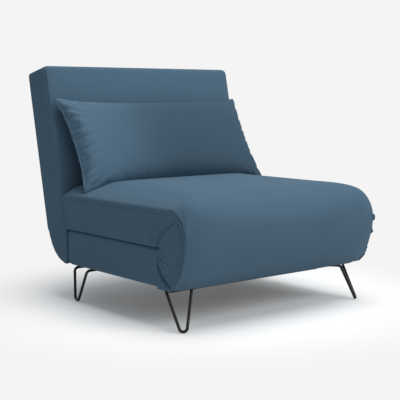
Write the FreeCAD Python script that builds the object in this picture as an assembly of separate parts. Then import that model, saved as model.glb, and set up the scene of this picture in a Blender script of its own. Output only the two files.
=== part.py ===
import FreeCAD, Part
import math
import os

# Convertible chair bed: a three-section folding mattress on hairpin legs.
# Millimetres, +Z up, the chair faces -Y, origin on the floor at the middle of the whole.
# The upper seat section folds forward, the back lies down, the front legs slide out under the bed.

V = FreeCAD.Vector

# Upholstery sizes
WIDTH = 880.0
FLOOR_GAP = 134.0
LOWER_THICKNESS = 136.0
UPPER_THICKNESS = 118.0
SEAT_CROWN = 22.0
SECTION_LENGTH = 555.0
BACK_LENGTH = 603.0
BACK_THICKNESS = 131.0
BACK_LEAN = 12.25
SOFT_EDGE = 18.0
SEAT_HEEL = 24.0
PANEL_GAP = 0.4

# Rounded front fold, seen from the side: flat top, nose, sloping heel and toe
FOLD_NOSE = 141.0
FOLD_CROWN = 20.0
FOLD_FLAT = 85.0
FOLD_NOSE_LIFT = 48.0
FOLD_HEEL_REACH = 98.0
FOLD_HEEL_LIFT = 33.0
FOLD_TOE = 45.0

# Lumbar cushion
LUMBAR_SIDE_GAP = 19.0
LUMBAR_HEIGHT = 373.0
LUMBAR_THICKNESS = 134.0
LUMBAR_TILT = 28.8
LUMBAR_FORWARD = 14.0
LUMBAR_RISE = 300.0
LUMBAR_EDGE = 7.0
LUMBAR_PULL = 11.0
LUMBAR_FULLNESS = 2.2

# Steel frames
TUBE_WALL = 2.0
RAIL_WIDTH = 30.0
RAIL_HEIGHT = 25.0
RAIL_INSET = 40.0
FRAME_SETBACK = 30.0
CROSS_RAIL_WIDTH = 30.0
PANEL_TUBE_WIDTH = 25.0
PANEL_TUBE_HEIGHT = 20.0
SEAT_FRAME_LIFT = 52.0
BACK_FRAME_DEPTH = 52.0
PANEL_FRAME_SETBACK = 34.0
WEBBING_WIDTH = 50.0
WEBBING_THICKNESS = 2.5
SEAT_STRAPS = 5
BACK_STRAPS = 5
POCKET_GAP = 0.4

# Sprung slats
SLAT_COUNT = 4
SLAT_WIDTH = 55.0
SLAT_THICKNESS = 8.0
SLAT_BOW = 9.0
HOLDER_LENGTH = 34.0
HOLDER_WIDTH = 64.0
HOLDER_HEIGHT = 14.0
SLAT_FIT = 0.3
TRAY_HEADROOM = 3.0
TRAY_WALL_GAP = 2.0

# Hinge hardware
PLATE_THICKNESS = 4.0
ARM_THICKNESS = 4.0
ARM_GAP = 0.5
LUG_RADIUS = 10.0
PIVOT_RADIUS = 4.0
PIVOT_FIT = 0.05
PIVOT_HEAD_RADIUS = 8.0
PIVOT_HEAD = 3.0
LUG_RELIEF = 2.5
SLOT_INNER_GAP = 7.0
SLOT_OUTER_GAP = 5.0
TUBE_TO_ARM = 0.3
SLOT_MARGIN = 3.0

# Hinge straps, measured from their pivots: where each leaves its lug, steps and ends
LUG_SHOULDER = 9.0
LUG_WAIST = 4.0
FOOT_MARGIN = 4.0
FRONT_FOOT_START = 34.0
FRONT_FOOT_STEP = 48.0
FRONT_FOOT_END = 92.0
FRONT_SLOT_DEPTH = 45.0
SEAT_ARM_START = 30.0
SEAT_ARM_STEP = 44.0
SEAT_ARM_END = 120.0
BACK_FOOT_START = 14.0
BACK_FOOT_END = 104.0
BACK_FOOT_TOP = 36.0
BACK_WAIST_Y = 62.0
BACK_WAIST_Z = 34.0
BACK_NECK_Y = 3.0
BACK_NECK_Z = 56.0
BACK_STRAP_START = 44.0
BACK_STRAP_SHOULDER = 70.0
BACK_STRAP_END = 190.0

# Ratchet of the back hinge
RATCHET_TIP_RADIUS = 50.0
RATCHET_DEPTH = 3.5
RATCHET_STEPS = 13
RATCHET_PLAY = 0.4
PAWL_ANGLE = 262.5
PAWL_PIVOT_Y = -51.5
PAWL_PIVOT_Z = -46.0
PAWL_BOSS = 8.0
PAWL_PIN_RADIUS = 3.0
PAWL_SWING = 7.0
SPRING_THICKNESS = 1.0
SPRING_ANCHOR_Y = -92.0
SPRING_ANCHOR_RADIUS = 4.0

# Pull-out leg frame
SLIDE_TRAVEL = 380.0
CHANNEL_X = 230.0
CHANNEL_WIDTH = 34.0
CHANNEL_HEIGHT = 38.0
CHANNEL_WALL = 2.0
SLIDE_TUBE_WIDTH = 24.0
SLIDE_FIT = 1.0
SLIDE_CROSS_FRONT = 50.0
SLIDE_CROSS_WIDTH = 22.0
SLIDE_CROSS_HEIGHT = 20.0
SLIDE_CROSS_INSET = 95.0
SLIDE_OVERLAP = 86.0
CHANNEL_SETBACK = 4.0
PAD_LENGTH = 40.0
PAD_FIT = 0.2
CAP_THICKNESS = 3.0
PLUG_DEPTH = 14.0

# Hairpin legs, bent from one rod each
ROD_RADIUS = 5.0
LEG_SPREAD = 84.0
LEG_BEND = 13.0
LEG_TOE_BEND = 13.0
ROD_TO_CUSHION = 1.0
LEG_PLATE_THICKNESS = 3.0
LEG_PLATE_MARGIN = 12.0
FRONT_LEG_INSET = 56.0
FRONT_LEG_Y = -40.0
FRONT_TOE_INSET = 34.0
FRONT_TOE_Y = -94.0
FRONT_LEG_TURN = 39.2
FRONT_RUN = 150.0
FRONT_PLATE_LENGTH = 66.0
REAR_LEG_INSET = 16.0
REAR_LEG_Y = 484.0
REAR_TOE_INSET = 25.0
REAR_TOE_Y = 529.0
REAR_PLATE_INSET = 4.0
REAR_PLATE_LENGTH = 44.0

# Fasteners
BOLT_RADIUS = 3.0
BOLT_FIT = 0.3
BOLT_HEAD_RADIUS = 5.5
BOLT_HEAD = 3.0
BOLT_LENGTH = 9.0
FRONT_BOLT_OFFSET = 8.0
FRONT_BOLT_SPACING = 18.0
COVER_THICKNESS = 0.8
COVER_GAP = 0.4

# Places worked out from the sizes above
LEAN = math.radians(BACK_LEAN)
RECLINE = 90.0 - BACK_LEAN
FOLD_Z = FLOOR_GAP + LOWER_THICKNESS
REACH_FRONT = FOLD_NOSE + FOLD_CROWN
REACH_REAR = (
    SECTION_LENGTH
    + (BACK_LENGTH - SOFT_EDGE) * math.sin(LEAN)
    + (BACK_THICKNESS - SOFT_EDGE) * math.cos(LEAN)
    + SOFT_EDGE
)
FOLD_Y = (REACH_FRONT - REACH_REAR) / 2
HINGE_Y = FOLD_Y + SECTION_LENGTH
HALF = WIDTH / 2
LUMBAR_WIDTH = WIDTH - 2 * LUMBAR_SIDE_GAP
RAIL_OUTER_X = HALF - RAIL_INSET
RAIL_INNER_X = RAIL_OUTER_X - RAIL_WIDTH
SLIDE_CROSS_REACH = HALF - SLIDE_CROSS_INSET
FRONT_LEG_X = HALF - FRONT_LEG_INSET
FRONT_TOE_X = HALF - FRONT_TOE_INSET
REAR_LEG_X = HALF - REAR_LEG_INSET
REAR_TOE_X = HALF - REAR_TOE_INSET
REAR_PLATE_X = RAIL_OUTER_X - REAR_PLATE_INSET - REAR_PLATE_LENGTH
RAIL_TOP = FLOOR_GAP + RAIL_HEIGHT
FRAME_FRONT = FOLD_Y + FRAME_SETBACK
FRAME_REAR = HINGE_Y - FRAME_SETBACK / 3
PLATE_X = RAIL_OUTER_X
ARM_X = PLATE_X + PLATE_THICKNESS + ARM_GAP
SLOT_IN = PLATE_X - SLOT_INNER_GAP
SLOT_OUT = ARM_X + ARM_THICKNESS + SLOT_OUTER_GAP
PANEL_TUBE_OUTER_X = ARM_X - TUBE_TO_ARM
PANEL_TUBE_INNER_X = PANEL_TUBE_OUTER_X - PANEL_TUBE_WIDTH
SEAT_FRAME_Z = FOLD_Z + SEAT_FRAME_LIFT
ROD_Z = FLOOR_GAP - ROD_TO_CUSHION - ROD_RADIUS


def box(x0, x1, y0, y1, z0, z1):
    return Part.makeBox(x1 - x0, y1 - y0, z1 - z0, V(x0, y0, z0))


def disc(x0, x1, y, z, radius):
    return Part.makeCylinder(radius, x1 - x0, V(x0, y, z), V(1, 0, 0))


def pin_up(x, y, z0, z1, radius):
    return Part.makeCylinder(radius, z1 - z0, V(x, y, z0), V(0, 0, 1))


def side_plate(outline, x0, x1, y=0.0, z=0.0):
    """A flat plate cut to an outline of (y, z) points, standing in the side plane."""
    points = [V(x0, y + a, z + b) for a, b in outline]
    face = Part.Face(Part.makePolygon(points + points[:1]))
    return face.extrude(V(x1 - x0, 0, 0))


def mirrored(shape):
    return shape.mirror(V(0, 0, 0), V(1, 0, 0))


def pair(shape):
    return [mirrored(shape), shape]


def polar(radius, degrees):
    angle = math.radians(degrees)
    return radius * math.cos(angle), radius * math.sin(angle)


def tube(x0, x1, y0, y1, z0, z1, along):
    """A rectangular steel tube, open at both ends along the axis named."""
    wall = {"x": TUBE_WALL, "y": TUBE_WALL, "z": TUBE_WALL}
    wall[along] = -TUBE_WALL
    inside = box(
        x0 + wall["x"], x1 - wall["x"], y0 + wall["y"], y1 - wall["y"], z0 + wall["z"], z1 - wall["z"]
    )
    return box(x0, x1, y0, y1, z0, z1).cut(inside)


def around(shape, gap):
    """The box round a piece, with a gap on every side, as the pocket cut for it."""
    b = shape.BoundBox
    return box(b.XMin - gap, b.XMax + gap, b.YMin - gap, b.YMax + gap, b.ZMin - gap, b.ZMax + gap)


def pocketed(cushion, pieces):
    return cushion.cut([around(piece, POCKET_GAP) for piece in pieces])


def edges_along(shape, direction):
    found = []
    for edge in shape.Edges:
        run = edge.tangentAt(edge.FirstParameter)
        if abs(run.dot(direction)) > 0.999:
            found.append(edge)
    return found


def crowned_section(half, low, high, crown, corner, y0, y1):
    """A cushion seen from the front: flat below, rounded corners and a crowned top."""
    slope = corner * (1 - math.sqrt(0.5))
    low_left = V(-half, y0, low)
    low_right = V(half, y0, low)
    right = V(half, y0, high - corner)
    right_mid = V(half - slope, y0, high - slope)
    top_right = V(half - corner, y0, high)
    top_mid = V(0, y0, high + crown)
    top_left = V(corner - half, y0, high)
    left_mid = V(slope - half, y0, high - slope)
    left = V(-half, y0, high - corner)
    edges = [
        Part.LineSegment(low_left, low_right).toShape(),
        Part.LineSegment(low_right, right).toShape(),
        Part.Arc(right, right_mid, top_right).toShape(),
        Part.Arc(top_right, top_mid, top_left).toShape(),
        Part.Arc(top_left, left_mid, left).toShape(),
        Part.LineSegment(left, low_left).toShape(),
    ]
    return Part.Face(Part.Wire(edges)).extrude(V(0, y1 - y0, 0))


def pivot_pin(y, z):
    """A shouldered pivot with a head outside the arm and a nut inside the plate."""
    head_x = ARM_X + ARM_THICKNESS + ARM_GAP
    head = disc(head_x, head_x + PIVOT_HEAD, y, z, PIVOT_HEAD_RADIUS)
    shank = disc(PLATE_X - PIVOT_HEAD, head_x, y, z, PIVOT_RADIUS)
    nut = disc(PLATE_X - PIVOT_HEAD, PLATE_X, y, z, PIVOT_HEAD_RADIUS - 1)
    return head.fuse([shank, nut]).removeSplitter()


def pivot_hole(y, z, fit):
    return disc(PLATE_X - PIVOT_HEAD, SLOT_OUT, y, z, PIVOT_RADIUS + fit)


def bolt_holes(places, z0, z1):
    return [pin_up(x, y, z0 - 1, z1 + 1, BOLT_RADIUS + BOLT_FIT) for x, y in places]


# Base frame in the lower section

def base_side_rails():
    rail = tube(RAIL_INNER_X, RAIL_OUTER_X, FRAME_FRONT, FRAME_REAR, FLOOR_GAP, RAIL_TOP, "y")
    return pair(rail.cut(bolt_holes(rear_bolt_places(), FLOOR_GAP, FLOOR_GAP + TUBE_WALL)))


def cross_rail_places():
    first = FRAME_FRONT
    last = FRAME_REAR - CROSS_RAIL_WIDTH
    return [first, first + (last - first) * 0.2, (first + last) / 2 + CROSS_RAIL_WIDTH, last]


def channel_rail_places():
    return cross_rail_places()[1:]


def channel_bolt_places():
    """The channels hang from every cross rail but the front one."""
    return [(CHANNEL_X, y + CROSS_RAIL_WIDTH / 2) for y in channel_rail_places()]


def base_cross_rails():
    rails = []
    for y in cross_rail_places():
        rail = tube(-RAIL_INNER_X, RAIL_INNER_X, y, y + CROSS_RAIL_WIDTH, FLOOR_GAP, RAIL_TOP, "x")
        if y in channel_rail_places():
            places = [(x, y + CROSS_RAIL_WIDTH / 2) for x in (-CHANNEL_X, CHANNEL_X)]
            rail = rail.cut(bolt_holes(places, FLOOR_GAP, FLOOR_GAP + TUBE_WALL))
        rails.append(rail)
    return rails


def slat_places():
    step = (FRAME_REAR - FRAME_FRONT) / SLAT_COUNT
    return [FRAME_FRONT + step * (i + 0.5) for i in range(SLAT_COUNT)]


def slat_blank(y, fit):
    """A bowed slat, higher in the middle, with the fit added all round."""
    end = RAIL_OUTER_X - HOLDER_LENGTH / 4 + fit
    low = RAIL_TOP + TUBE_WALL - fit
    top = low + SLAT_THICKNESS + 2 * fit
    y0 = y - SLAT_WIDTH / 2 - fit
    outline = [
        Part.Arc(V(-end, y0, low), V(0, y0, low + SLAT_BOW), V(end, y0, low)).toShape(),
        Part.LineSegment(V(end, y0, low), V(end, y0, top)).toShape(),
        Part.Arc(V(end, y0, top), V(0, y0, top + SLAT_BOW), V(-end, y0, top)).toShape(),
        Part.LineSegment(V(-end, y0, top), V(-end, y0, low)).toShape(),
    ]
    return Part.Face(Part.Wire(outline)).extrude(V(0, SLAT_WIDTH + 2 * fit, 0))


def base_slats():
    return [slat_blank(y, 0.0) for y in slat_places()]


def slat_holders():
    holders = []
    for y in slat_places():
        block = box(
            RAIL_OUTER_X - HOLDER_LENGTH,
            RAIL_OUTER_X,
            y - HOLDER_WIDTH / 2,
            y + HOLDER_WIDTH / 2,
            RAIL_TOP,
            RAIL_TOP + HOLDER_HEIGHT,
        )
        block = block.makeFillet(HOLDER_HEIGHT / 4, edges_along(block, V(0, 0, 1)))
        holders += pair(block.cut(slat_blank(y, SLAT_FIT)))
    return holders


# Front hinges, between the lower and upper seat sections

def front_hinge_brackets():
    low = FOOT_MARGIN - LOWER_THICKNESS
    high = RAIL_HEIGHT - FOOT_MARGIN / 2 - LOWER_THICKNESS
    outline = [
        (-LUG_SHOULDER, -LUG_WAIST),
        (FRONT_FOOT_START, low),
        (FRONT_FOOT_END, low),
        (FRONT_FOOT_END, high),
        (FRONT_FOOT_STEP, high),
        (LUG_SHOULDER, LUG_WAIST),
    ]
    strap = side_plate(outline, PLATE_X, PLATE_X + PLATE_THICKNESS, FOLD_Y, FOLD_Z)
    lug = disc(PLATE_X, PLATE_X + PLATE_THICKNESS, FOLD_Y, FOLD_Z, LUG_RADIUS)
    bracket = strap.fuse(lug).removeSplitter().cut(pivot_hole(FOLD_Y, FOLD_Z, PIVOT_FIT / 2))
    return pair(bracket)


def seat_hinge_arms():
    top = SEAT_FRAME_LIFT + PANEL_TUBE_HEIGHT
    outline = [
        (-LUG_SHOULDER, LUG_WAIST),
        (SEAT_ARM_START, top),
        (SEAT_ARM_END, top),
        (SEAT_ARM_END, SEAT_FRAME_LIFT),
        (SEAT_ARM_STEP, SEAT_FRAME_LIFT),
        (LUG_SHOULDER, -LUG_WAIST),
    ]
    strap = side_plate(outline, ARM_X, ARM_X + ARM_THICKNESS, FOLD_Y, FOLD_Z)
    lug = disc(ARM_X, ARM_X + ARM_THICKNESS, FOLD_Y, FOLD_Z, LUG_RADIUS)
    arm = strap.fuse(lug).removeSplitter().cut(pivot_hole(FOLD_Y, FOLD_Z, PIVOT_FIT))
    return pair(arm)


# Back hinges with a toothed sector, pawl and leaf spring

def back_hinge_plates():
    low = FOOT_MARGIN - LOWER_THICKNESS
    outline = [
        (-BACK_FOOT_END, low),
        (-BACK_FOOT_START, low),
        (-BACK_NECK_Y, -BACK_NECK_Z),
        (LUG_SHOULDER, -LUG_WAIST),
        (-LUG_SHOULDER, -LUG_WAIST),
        (-BACK_WAIST_Y, -BACK_WAIST_Z),
        (-BACK_FOOT_END, BACK_FOOT_TOP - LOWER_THICKNESS),
    ]
    plate = side_plate(outline, PLATE_X, PLATE_X + PLATE_THICKNESS, HINGE_Y, FOLD_Z)
    lug = disc(PLATE_X, PLATE_X + PLATE_THICKNESS, HINGE_Y, FOLD_Z, LUG_RADIUS)
    plate = plate.fuse(lug).removeSplitter().cut(pivot_hole(HINGE_Y, FOLD_Z, PIVOT_FIT / 2))
    pawl_hole = disc(PLATE_X - 1, ARM_X, HINGE_Y + PAWL_PIVOT_Y, FOLD_Z + PAWL_PIVOT_Z, PAWL_PIN_RADIUS)
    return pair(plate.cut(pawl_hole))


def ratchet_outline():
    """The toothed rim, in the back's own frame: a steep face and a ramp on each tooth."""
    pitch = RECLINE / RATCHET_STEPS
    root = RATCHET_TIP_RADIUS - RATCHET_DEPTH
    first = PAWL_ANGLE + BACK_LEAN
    points = [(0.0, 0.0), polar(root, first)]
    for tooth in range(RATCHET_STEPS + 1):
        angle = first + tooth * pitch
        points.append(polar(RATCHET_TIP_RADIUS, angle))
        points.append(polar(root, angle + pitch))
    return points


def back_arm():
    """One cut plate: pivot lug, toothed sector below it and a strap up the back's side tube."""
    reach = BACK_FRAME_DEPTH + PANEL_TUBE_WIDTH
    strap_outline = [
        (-LUG_WAIST, LUG_SHOULDER),
        (BACK_FRAME_DEPTH, BACK_STRAP_SHOULDER),
        (BACK_FRAME_DEPTH, BACK_STRAP_END),
        (reach, BACK_STRAP_END),
        (reach, BACK_STRAP_START),
        (LUG_SHOULDER, -LUG_WAIST),
    ]
    strap = side_plate(strap_outline, ARM_X, ARM_X + ARM_THICKNESS)
    sector = side_plate(ratchet_outline(), ARM_X, ARM_X + ARM_THICKNESS)
    lug = disc(ARM_X, ARM_X + ARM_THICKNESS, 0, 0, LUG_RADIUS)
    return strap.fuse([sector, lug]).removeSplitter().cut(pivot_hole(0, 0, PIVOT_FIT))


def pawl_outline():
    """The pawl in mesh with the rim at the upright back, round the hinge axis."""
    pitch = RECLINE / RATCHET_STEPS
    root = RATCHET_TIP_RADIUS - RATCHET_DEPTH
    face = PAWL_ANGLE - RATCHET_PLAY
    tip = polar(root + RATCHET_PLAY, face)
    ramp_end = polar(RATCHET_TIP_RADIUS + 2 * RATCHET_PLAY, face - pitch)
    heel = polar(RATCHET_TIP_RADIUS + 3 * RATCHET_DEPTH, face)
    above = (PAWL_PIVOT_Y + 1, PAWL_PIVOT_Z + PAWL_BOSS)
    below = (PAWL_PIVOT_Y - 1, PAWL_PIVOT_Z - PAWL_BOSS)
    return [tip, ramp_end, above, below, heel]


def parked_pawl():
    boss = disc(ARM_X, ARM_X + ARM_THICKNESS, PAWL_PIVOT_Y, PAWL_PIVOT_Z, PAWL_BOSS)
    pawl = side_plate(pawl_outline(), ARM_X, ARM_X + ARM_THICKNESS).fuse(boss).removeSplitter()
    hole = disc(ARM_X - 1, SLOT_OUT, PAWL_PIVOT_Y, PAWL_PIVOT_Z, PAWL_PIN_RADIUS + PIVOT_FIT)
    pawl = pawl.cut(hole)
    pawl.rotate(V(0, PAWL_PIVOT_Y, PAWL_PIVOT_Z), V(1, 0, 0), -PAWL_SWING)
    pawl.translate(V(0, HINGE_Y, FOLD_Z))
    return pawl


def parked_point(point):
    """Where a point of the pawl in mesh lies once the pawl is parked."""
    swing = math.radians(-PAWL_SWING)
    y = point[0] - PAWL_PIVOT_Y
    z = point[1] - PAWL_PIVOT_Z
    return (
        PAWL_PIVOT_Y + y * math.cos(swing) - z * math.sin(swing),
        PAWL_PIVOT_Z + y * math.sin(swing) + z * math.cos(swing),
    )


def pawl_springs():
    """A leaf spring on a stud, its free end just under the parked pawl."""
    heel = parked_point(pawl_outline()[4])
    y1 = heel[0] - LUG_RADIUS / 2
    top = heel[1] - RATCHET_PLAY
    y0 = SPRING_ANCHOR_Y
    z0 = top - SPRING_ANCHOR_RADIUS
    x1 = ARM_X + ARM_THICKNESS
    leaf_outline = [(y0, z0), (y1, top), (y1, top - SPRING_THICKNESS), (y0, z0 - SPRING_THICKNESS)]
    leaf = side_plate(leaf_outline, ARM_X, x1, HINGE_Y, FOLD_Z)
    stud_z = FOLD_Z + z0 - SPRING_ANCHOR_RADIUS / 2
    stud = disc(PLATE_X + PLATE_THICKNESS, x1, HINGE_Y + y0, stud_z, SPRING_ANCHOR_RADIUS)
    return pair(leaf.fuse(stud).removeSplitter())


def pawl_pins():
    y = HINGE_Y + PAWL_PIVOT_Y
    z = FOLD_Z + PAWL_PIVOT_Z
    shank = disc(PLATE_X, ARM_X + ARM_THICKNESS + ARM_GAP, y, z, PAWL_PIN_RADIUS)
    head_x = ARM_X + ARM_THICKNESS + ARM_GAP
    head = disc(head_x, head_x + PIVOT_HEAD / 2, y, z, PAWL_PIN_RADIUS * 2)
    return pair(shank.fuse(head).removeSplitter())


# Frames inside the upper seat section and the back

def seat_frame_sides():
    return pair(tube(
        PANEL_TUBE_INNER_X,
        PANEL_TUBE_OUTER_X,
        FOLD_Y + PANEL_FRAME_SETBACK,
        HINGE_Y - PANEL_FRAME_SETBACK,
        SEAT_FRAME_Z,
        SEAT_FRAME_Z + PANEL_TUBE_HEIGHT,
        "y",
    ))


def seat_frame_cross():
    first = FOLD_Y + PANEL_FRAME_SETBACK
    last = HINGE_Y - PANEL_FRAME_SETBACK - PANEL_TUBE_WIDTH
    return [
        tube(-PANEL_TUBE_INNER_X, PANEL_TUBE_INNER_X, y, y + PANEL_TUBE_WIDTH,
             SEAT_FRAME_Z, SEAT_FRAME_Z + PANEL_TUBE_HEIGHT, "x")
        for y in (first, (first + last) / 2, last)
    ]


def seat_webbing():
    step = 2 * PANEL_TUBE_INNER_X / SEAT_STRAPS
    top = SEAT_FRAME_Z + PANEL_TUBE_HEIGHT
    straps = []
    for i in range(SEAT_STRAPS):
        x = -PANEL_TUBE_INNER_X + step * (i + 0.5)
        straps.append(box(
            x - WEBBING_WIDTH / 2,
            x + WEBBING_WIDTH / 2,
            FOLD_Y + PANEL_FRAME_SETBACK,
            HINGE_Y - PANEL_FRAME_SETBACK,
            top,
            top + WEBBING_THICKNESS,
        ))
    return straps


def back_frame_sides():
    """In the back's own frame: front face at y 0, hinge at z 0, up the lean along z."""
    return pair(tube(
        PANEL_TUBE_INNER_X,
        PANEL_TUBE_OUTER_X,
        BACK_FRAME_DEPTH,
        BACK_FRAME_DEPTH + PANEL_TUBE_WIDTH,
        PANEL_FRAME_SETBACK,
        BACK_LENGTH - PANEL_FRAME_SETBACK,
        "z",
    ))


def back_frame_cross():
    first = PANEL_FRAME_SETBACK
    last = BACK_LENGTH - PANEL_FRAME_SETBACK - PANEL_TUBE_HEIGHT
    return [
        tube(-PANEL_TUBE_INNER_X, PANEL_TUBE_INNER_X, BACK_FRAME_DEPTH, BACK_FRAME_DEPTH + PANEL_TUBE_WIDTH,
             z, z + PANEL_TUBE_HEIGHT, "x")
        for z in (first, (first + last) / 2, last)
    ]


def back_webbing():
    step = (BACK_LENGTH - 2 * PANEL_FRAME_SETBACK) / BACK_STRAPS
    straps = []
    for i in range(BACK_STRAPS):
        z = PANEL_FRAME_SETBACK + step * (i + 0.5)
        straps.append(box(
            -PANEL_TUBE_OUTER_X,
            PANEL_TUBE_OUTER_X,
            BACK_FRAME_DEPTH - WEBBING_THICKNESS,
            BACK_FRAME_DEPTH,
            z - WEBBING_WIDTH / 2,
            z + WEBBING_WIDTH / 2,
        ))
    return straps


def place_back(shapes):
    """Turns pieces from the back's own frame to the upright back on its hinge."""
    placed = []
    for shape in shapes:
        shape = shape.copy()
        shape.rotate(V(0, 0, 0), V(1, 0, 0), -BACK_LEAN)
        shape.translate(V(0, HINGE_Y, FOLD_Z))
        placed.append(shape)
    return placed


# Cushions

def slot_pair(y0, y1, z0, z1):
    return pair(box(SLOT_IN, SLOT_OUT, y0, y1, z0, z1))


def relief_pair(y, z, radius):
    return pair(disc(SLOT_IN, SLOT_OUT, y, z, radius))


def sector_relief():
    return relief_pair(HINGE_Y, FOLD_Z, RATCHET_TIP_RADIUS + LUG_RELIEF)


def front_relief():
    return relief_pair(FOLD_Y, FOLD_Z, LUG_RADIUS + LUG_RELIEF)


def lower_cushion():
    block = box(-HALF, HALF, FOLD_Y, HINGE_Y - PANEL_GAP, FLOOR_GAP, FOLD_Z)
    block = block.makeFillet(SOFT_EDGE, edges_along(block, V(0, 1, 0)))
    tray_top = RAIL_TOP + TUBE_WALL + SLAT_BOW + SLAT_THICKNESS + TRAY_HEADROOM
    tray = box(
        -RAIL_OUTER_X - TRAY_WALL_GAP,
        RAIL_OUTER_X + TRAY_WALL_GAP,
        FRAME_FRONT - TRAY_WALL_GAP,
        FRAME_REAR + TRAY_WALL_GAP,
        FLOOR_GAP - 1,
        tray_top,
    )
    slot_low = FLOOR_GAP + FOOT_MARGIN / 2
    foot_end = FRONT_FOOT_END + SLOT_MARGIN
    slots = slot_pair(FOLD_Y - 1, FOLD_Y + FRONT_FOOT_STEP, FOLD_Z - FRONT_SLOT_DEPTH, FOLD_Z + 1)
    slots += slot_pair(FOLD_Y, FOLD_Y + foot_end, slot_low, FOLD_Z - FRONT_SLOT_DEPTH + 1)
    back_foot_end = BACK_FOOT_END + SLOT_MARGIN
    slots += slot_pair(HINGE_Y - back_foot_end, HINGE_Y + 1, slot_low, FOLD_Z - LUG_RADIUS)
    return block.cut([tray] + slots + front_relief() + sector_relief())


def upper_cushion():
    """The rear face leans with the back, and its lower edge is cut back clear of the back's lugs."""
    top = UPPER_THICKNESS + SEAT_CROWN
    lean = math.tan(LEAN)
    rear_y = HINGE_Y - PANEL_GAP / math.cos(LEAN)
    outline = [
        (FOLD_Y + PANEL_GAP, FOLD_Z + PANEL_GAP),
        (rear_y - SEAT_HEEL, FOLD_Z + PANEL_GAP),
        (rear_y + SEAT_HEEL * lean, FOLD_Z + SEAT_HEEL),
        (rear_y + top * lean, FOLD_Z + top),
        (FOLD_Y + PANEL_GAP, FOLD_Z + top),
    ]
    block = side_plate(outline, -HALF, HALF)
    section = crowned_section(
        HALF,
        FOLD_Z - 1,
        FOLD_Z + UPPER_THICKNESS,
        SEAT_CROWN,
        SOFT_EDGE,
        FOLD_Y - 1,
        HINGE_Y + BACK_THICKNESS,
    )
    cushion = block.common(section)
    arm_top = SEAT_FRAME_Z + PANEL_TUBE_HEIGHT + SLOT_MARGIN
    arm_end = SEAT_ARM_END + SLOT_MARGIN
    arm_slots = slot_pair(FOLD_Y - 1, FOLD_Y + SEAT_ARM_STEP + SLOT_MARGIN, FOLD_Z - 1, SEAT_FRAME_Z)
    arm_slots += slot_pair(FOLD_Y + LUG_RADIUS, FOLD_Y + arm_end, SEAT_FRAME_Z - LUG_RADIUS, arm_top)
    cushion = cushion.cut(arm_slots + front_relief())
    return pocketed(cushion, seat_frame_sides() + seat_frame_cross() + seat_webbing())


def nose_arc(nose, end):
    """An arc that leaves the nose upright and passes through the end point."""
    away = end.y - nose.y
    rise = end.z - nose.z
    radius = (away ** 2 + rise ** 2) / (2 * away)
    turn = math.atan2(rise, radius - away) / 2
    middle = V(nose.x, nose.y + radius * (1 - math.cos(turn)), nose.z + radius * math.sin(turn))
    return Part.Arc(nose, middle, end).toShape()


def fold_section(x):
    """The outline of the front fold at one distance from the middle."""
    square = HALF - SOFT_EDGE
    off = max(0.0, abs(x) - square)
    inset = SOFT_EDGE - math.sqrt(SOFT_EDGE ** 2 - off ** 2)
    crown = 1 - min(1.0, abs(x) / square) ** 2
    nose_y = FOLD_Y - FOLD_NOSE - FOLD_CROWN * crown + inset
    heel_y = FOLD_Y - FOLD_HEEL_REACH - FOLD_CROWN * crown * 0.5 + inset
    back_y = FOLD_Y - PANEL_GAP
    flat_y = FOLD_Y - FOLD_FLAT
    toe_y = FOLD_Y - FOLD_TOE
    nose_z = FOLD_Z + FOLD_NOSE_LIFT
    top_z = FOLD_Z + UPPER_THICKNESS + SEAT_CROWN * crown - inset
    low_z = FLOOR_GAP + inset
    heel_z = FLOOR_GAP + FOLD_HEEL_LIFT + inset / 2
    shoulder = V(x, flat_y, top_z)
    nose = V(x, nose_y, nose_z)
    heel = V(x, heel_y, heel_z)
    heel_mid = V(x, (heel_y + toe_y) / 2 - FOLD_HEEL_LIFT / 6, low_z + (heel_z - low_z) * 0.3)
    toe = V(x, toe_y, low_z)
    return Part.Wire([
        Part.LineSegment(V(x, back_y, low_z), V(x, back_y, top_z)).toShape(),
        Part.LineSegment(V(x, back_y, top_z), shoulder).toShape(),
        nose_arc(nose, shoulder),
        nose_arc(nose, heel),
        Part.Arc(heel, heel_mid, toe).toShape(),
        Part.LineSegment(toe, V(x, back_y, low_z)).toShape(),
    ])


def front_fold():
    """The quilted cover that wraps from the upper section round the front to the lower one."""
    square = HALF - SOFT_EDGE
    half_round = [square, square + SOFT_EDGE * math.sqrt(0.5), HALF]
    stations = [-x for x in reversed(half_round)] + [-square / 2, 0.0, square / 2] + half_round
    roll = Part.makeLoft([fold_section(x) for x in stations], True, True)
    clear = LUG_RADIUS + SLOT_MARGIN
    slots = slot_pair(FOLD_Y - clear, FOLD_Y, FOLD_Z - FRONT_SLOT_DEPTH, FOLD_Z + 2 * LUG_RADIUS)
    return roll.cut(slots + front_relief())


def back_cushion():
    block = box(-HALF, HALF, 0, BACK_THICKNESS, 0, BACK_LENGTH)
    top_edges = [e for e in block.Edges if e.BoundBox.ZMin > BACK_LENGTH / 2]
    block = block.makeFillet(SOFT_EDGE, edges_along(block, V(0, 0, 1)) + top_edges)
    reach = BACK_FRAME_DEPTH + PANEL_TUBE_WIDTH + SLOT_MARGIN
    shoulder = BACK_STRAP_SHOULDER + 2 * SLOT_MARGIN
    strap_end = BACK_STRAP_END + SLOT_MARGIN
    arm_slots = slot_pair(-1, LUG_SHOULDER, -1, 2 * LUG_RADIUS)
    arm_slots += slot_pair(LUG_WAIST, reach, -1, shoulder)
    arm_slots += slot_pair(BACK_FRAME_DEPTH - SLOT_MARGIN, reach, BACK_STRAP_SHOULDER, strap_end)
    block = block.cut(arm_slots)
    block = pocketed(block, back_frame_sides() + back_frame_cross() + back_webbing())
    return place_back([block])[0]


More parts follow.
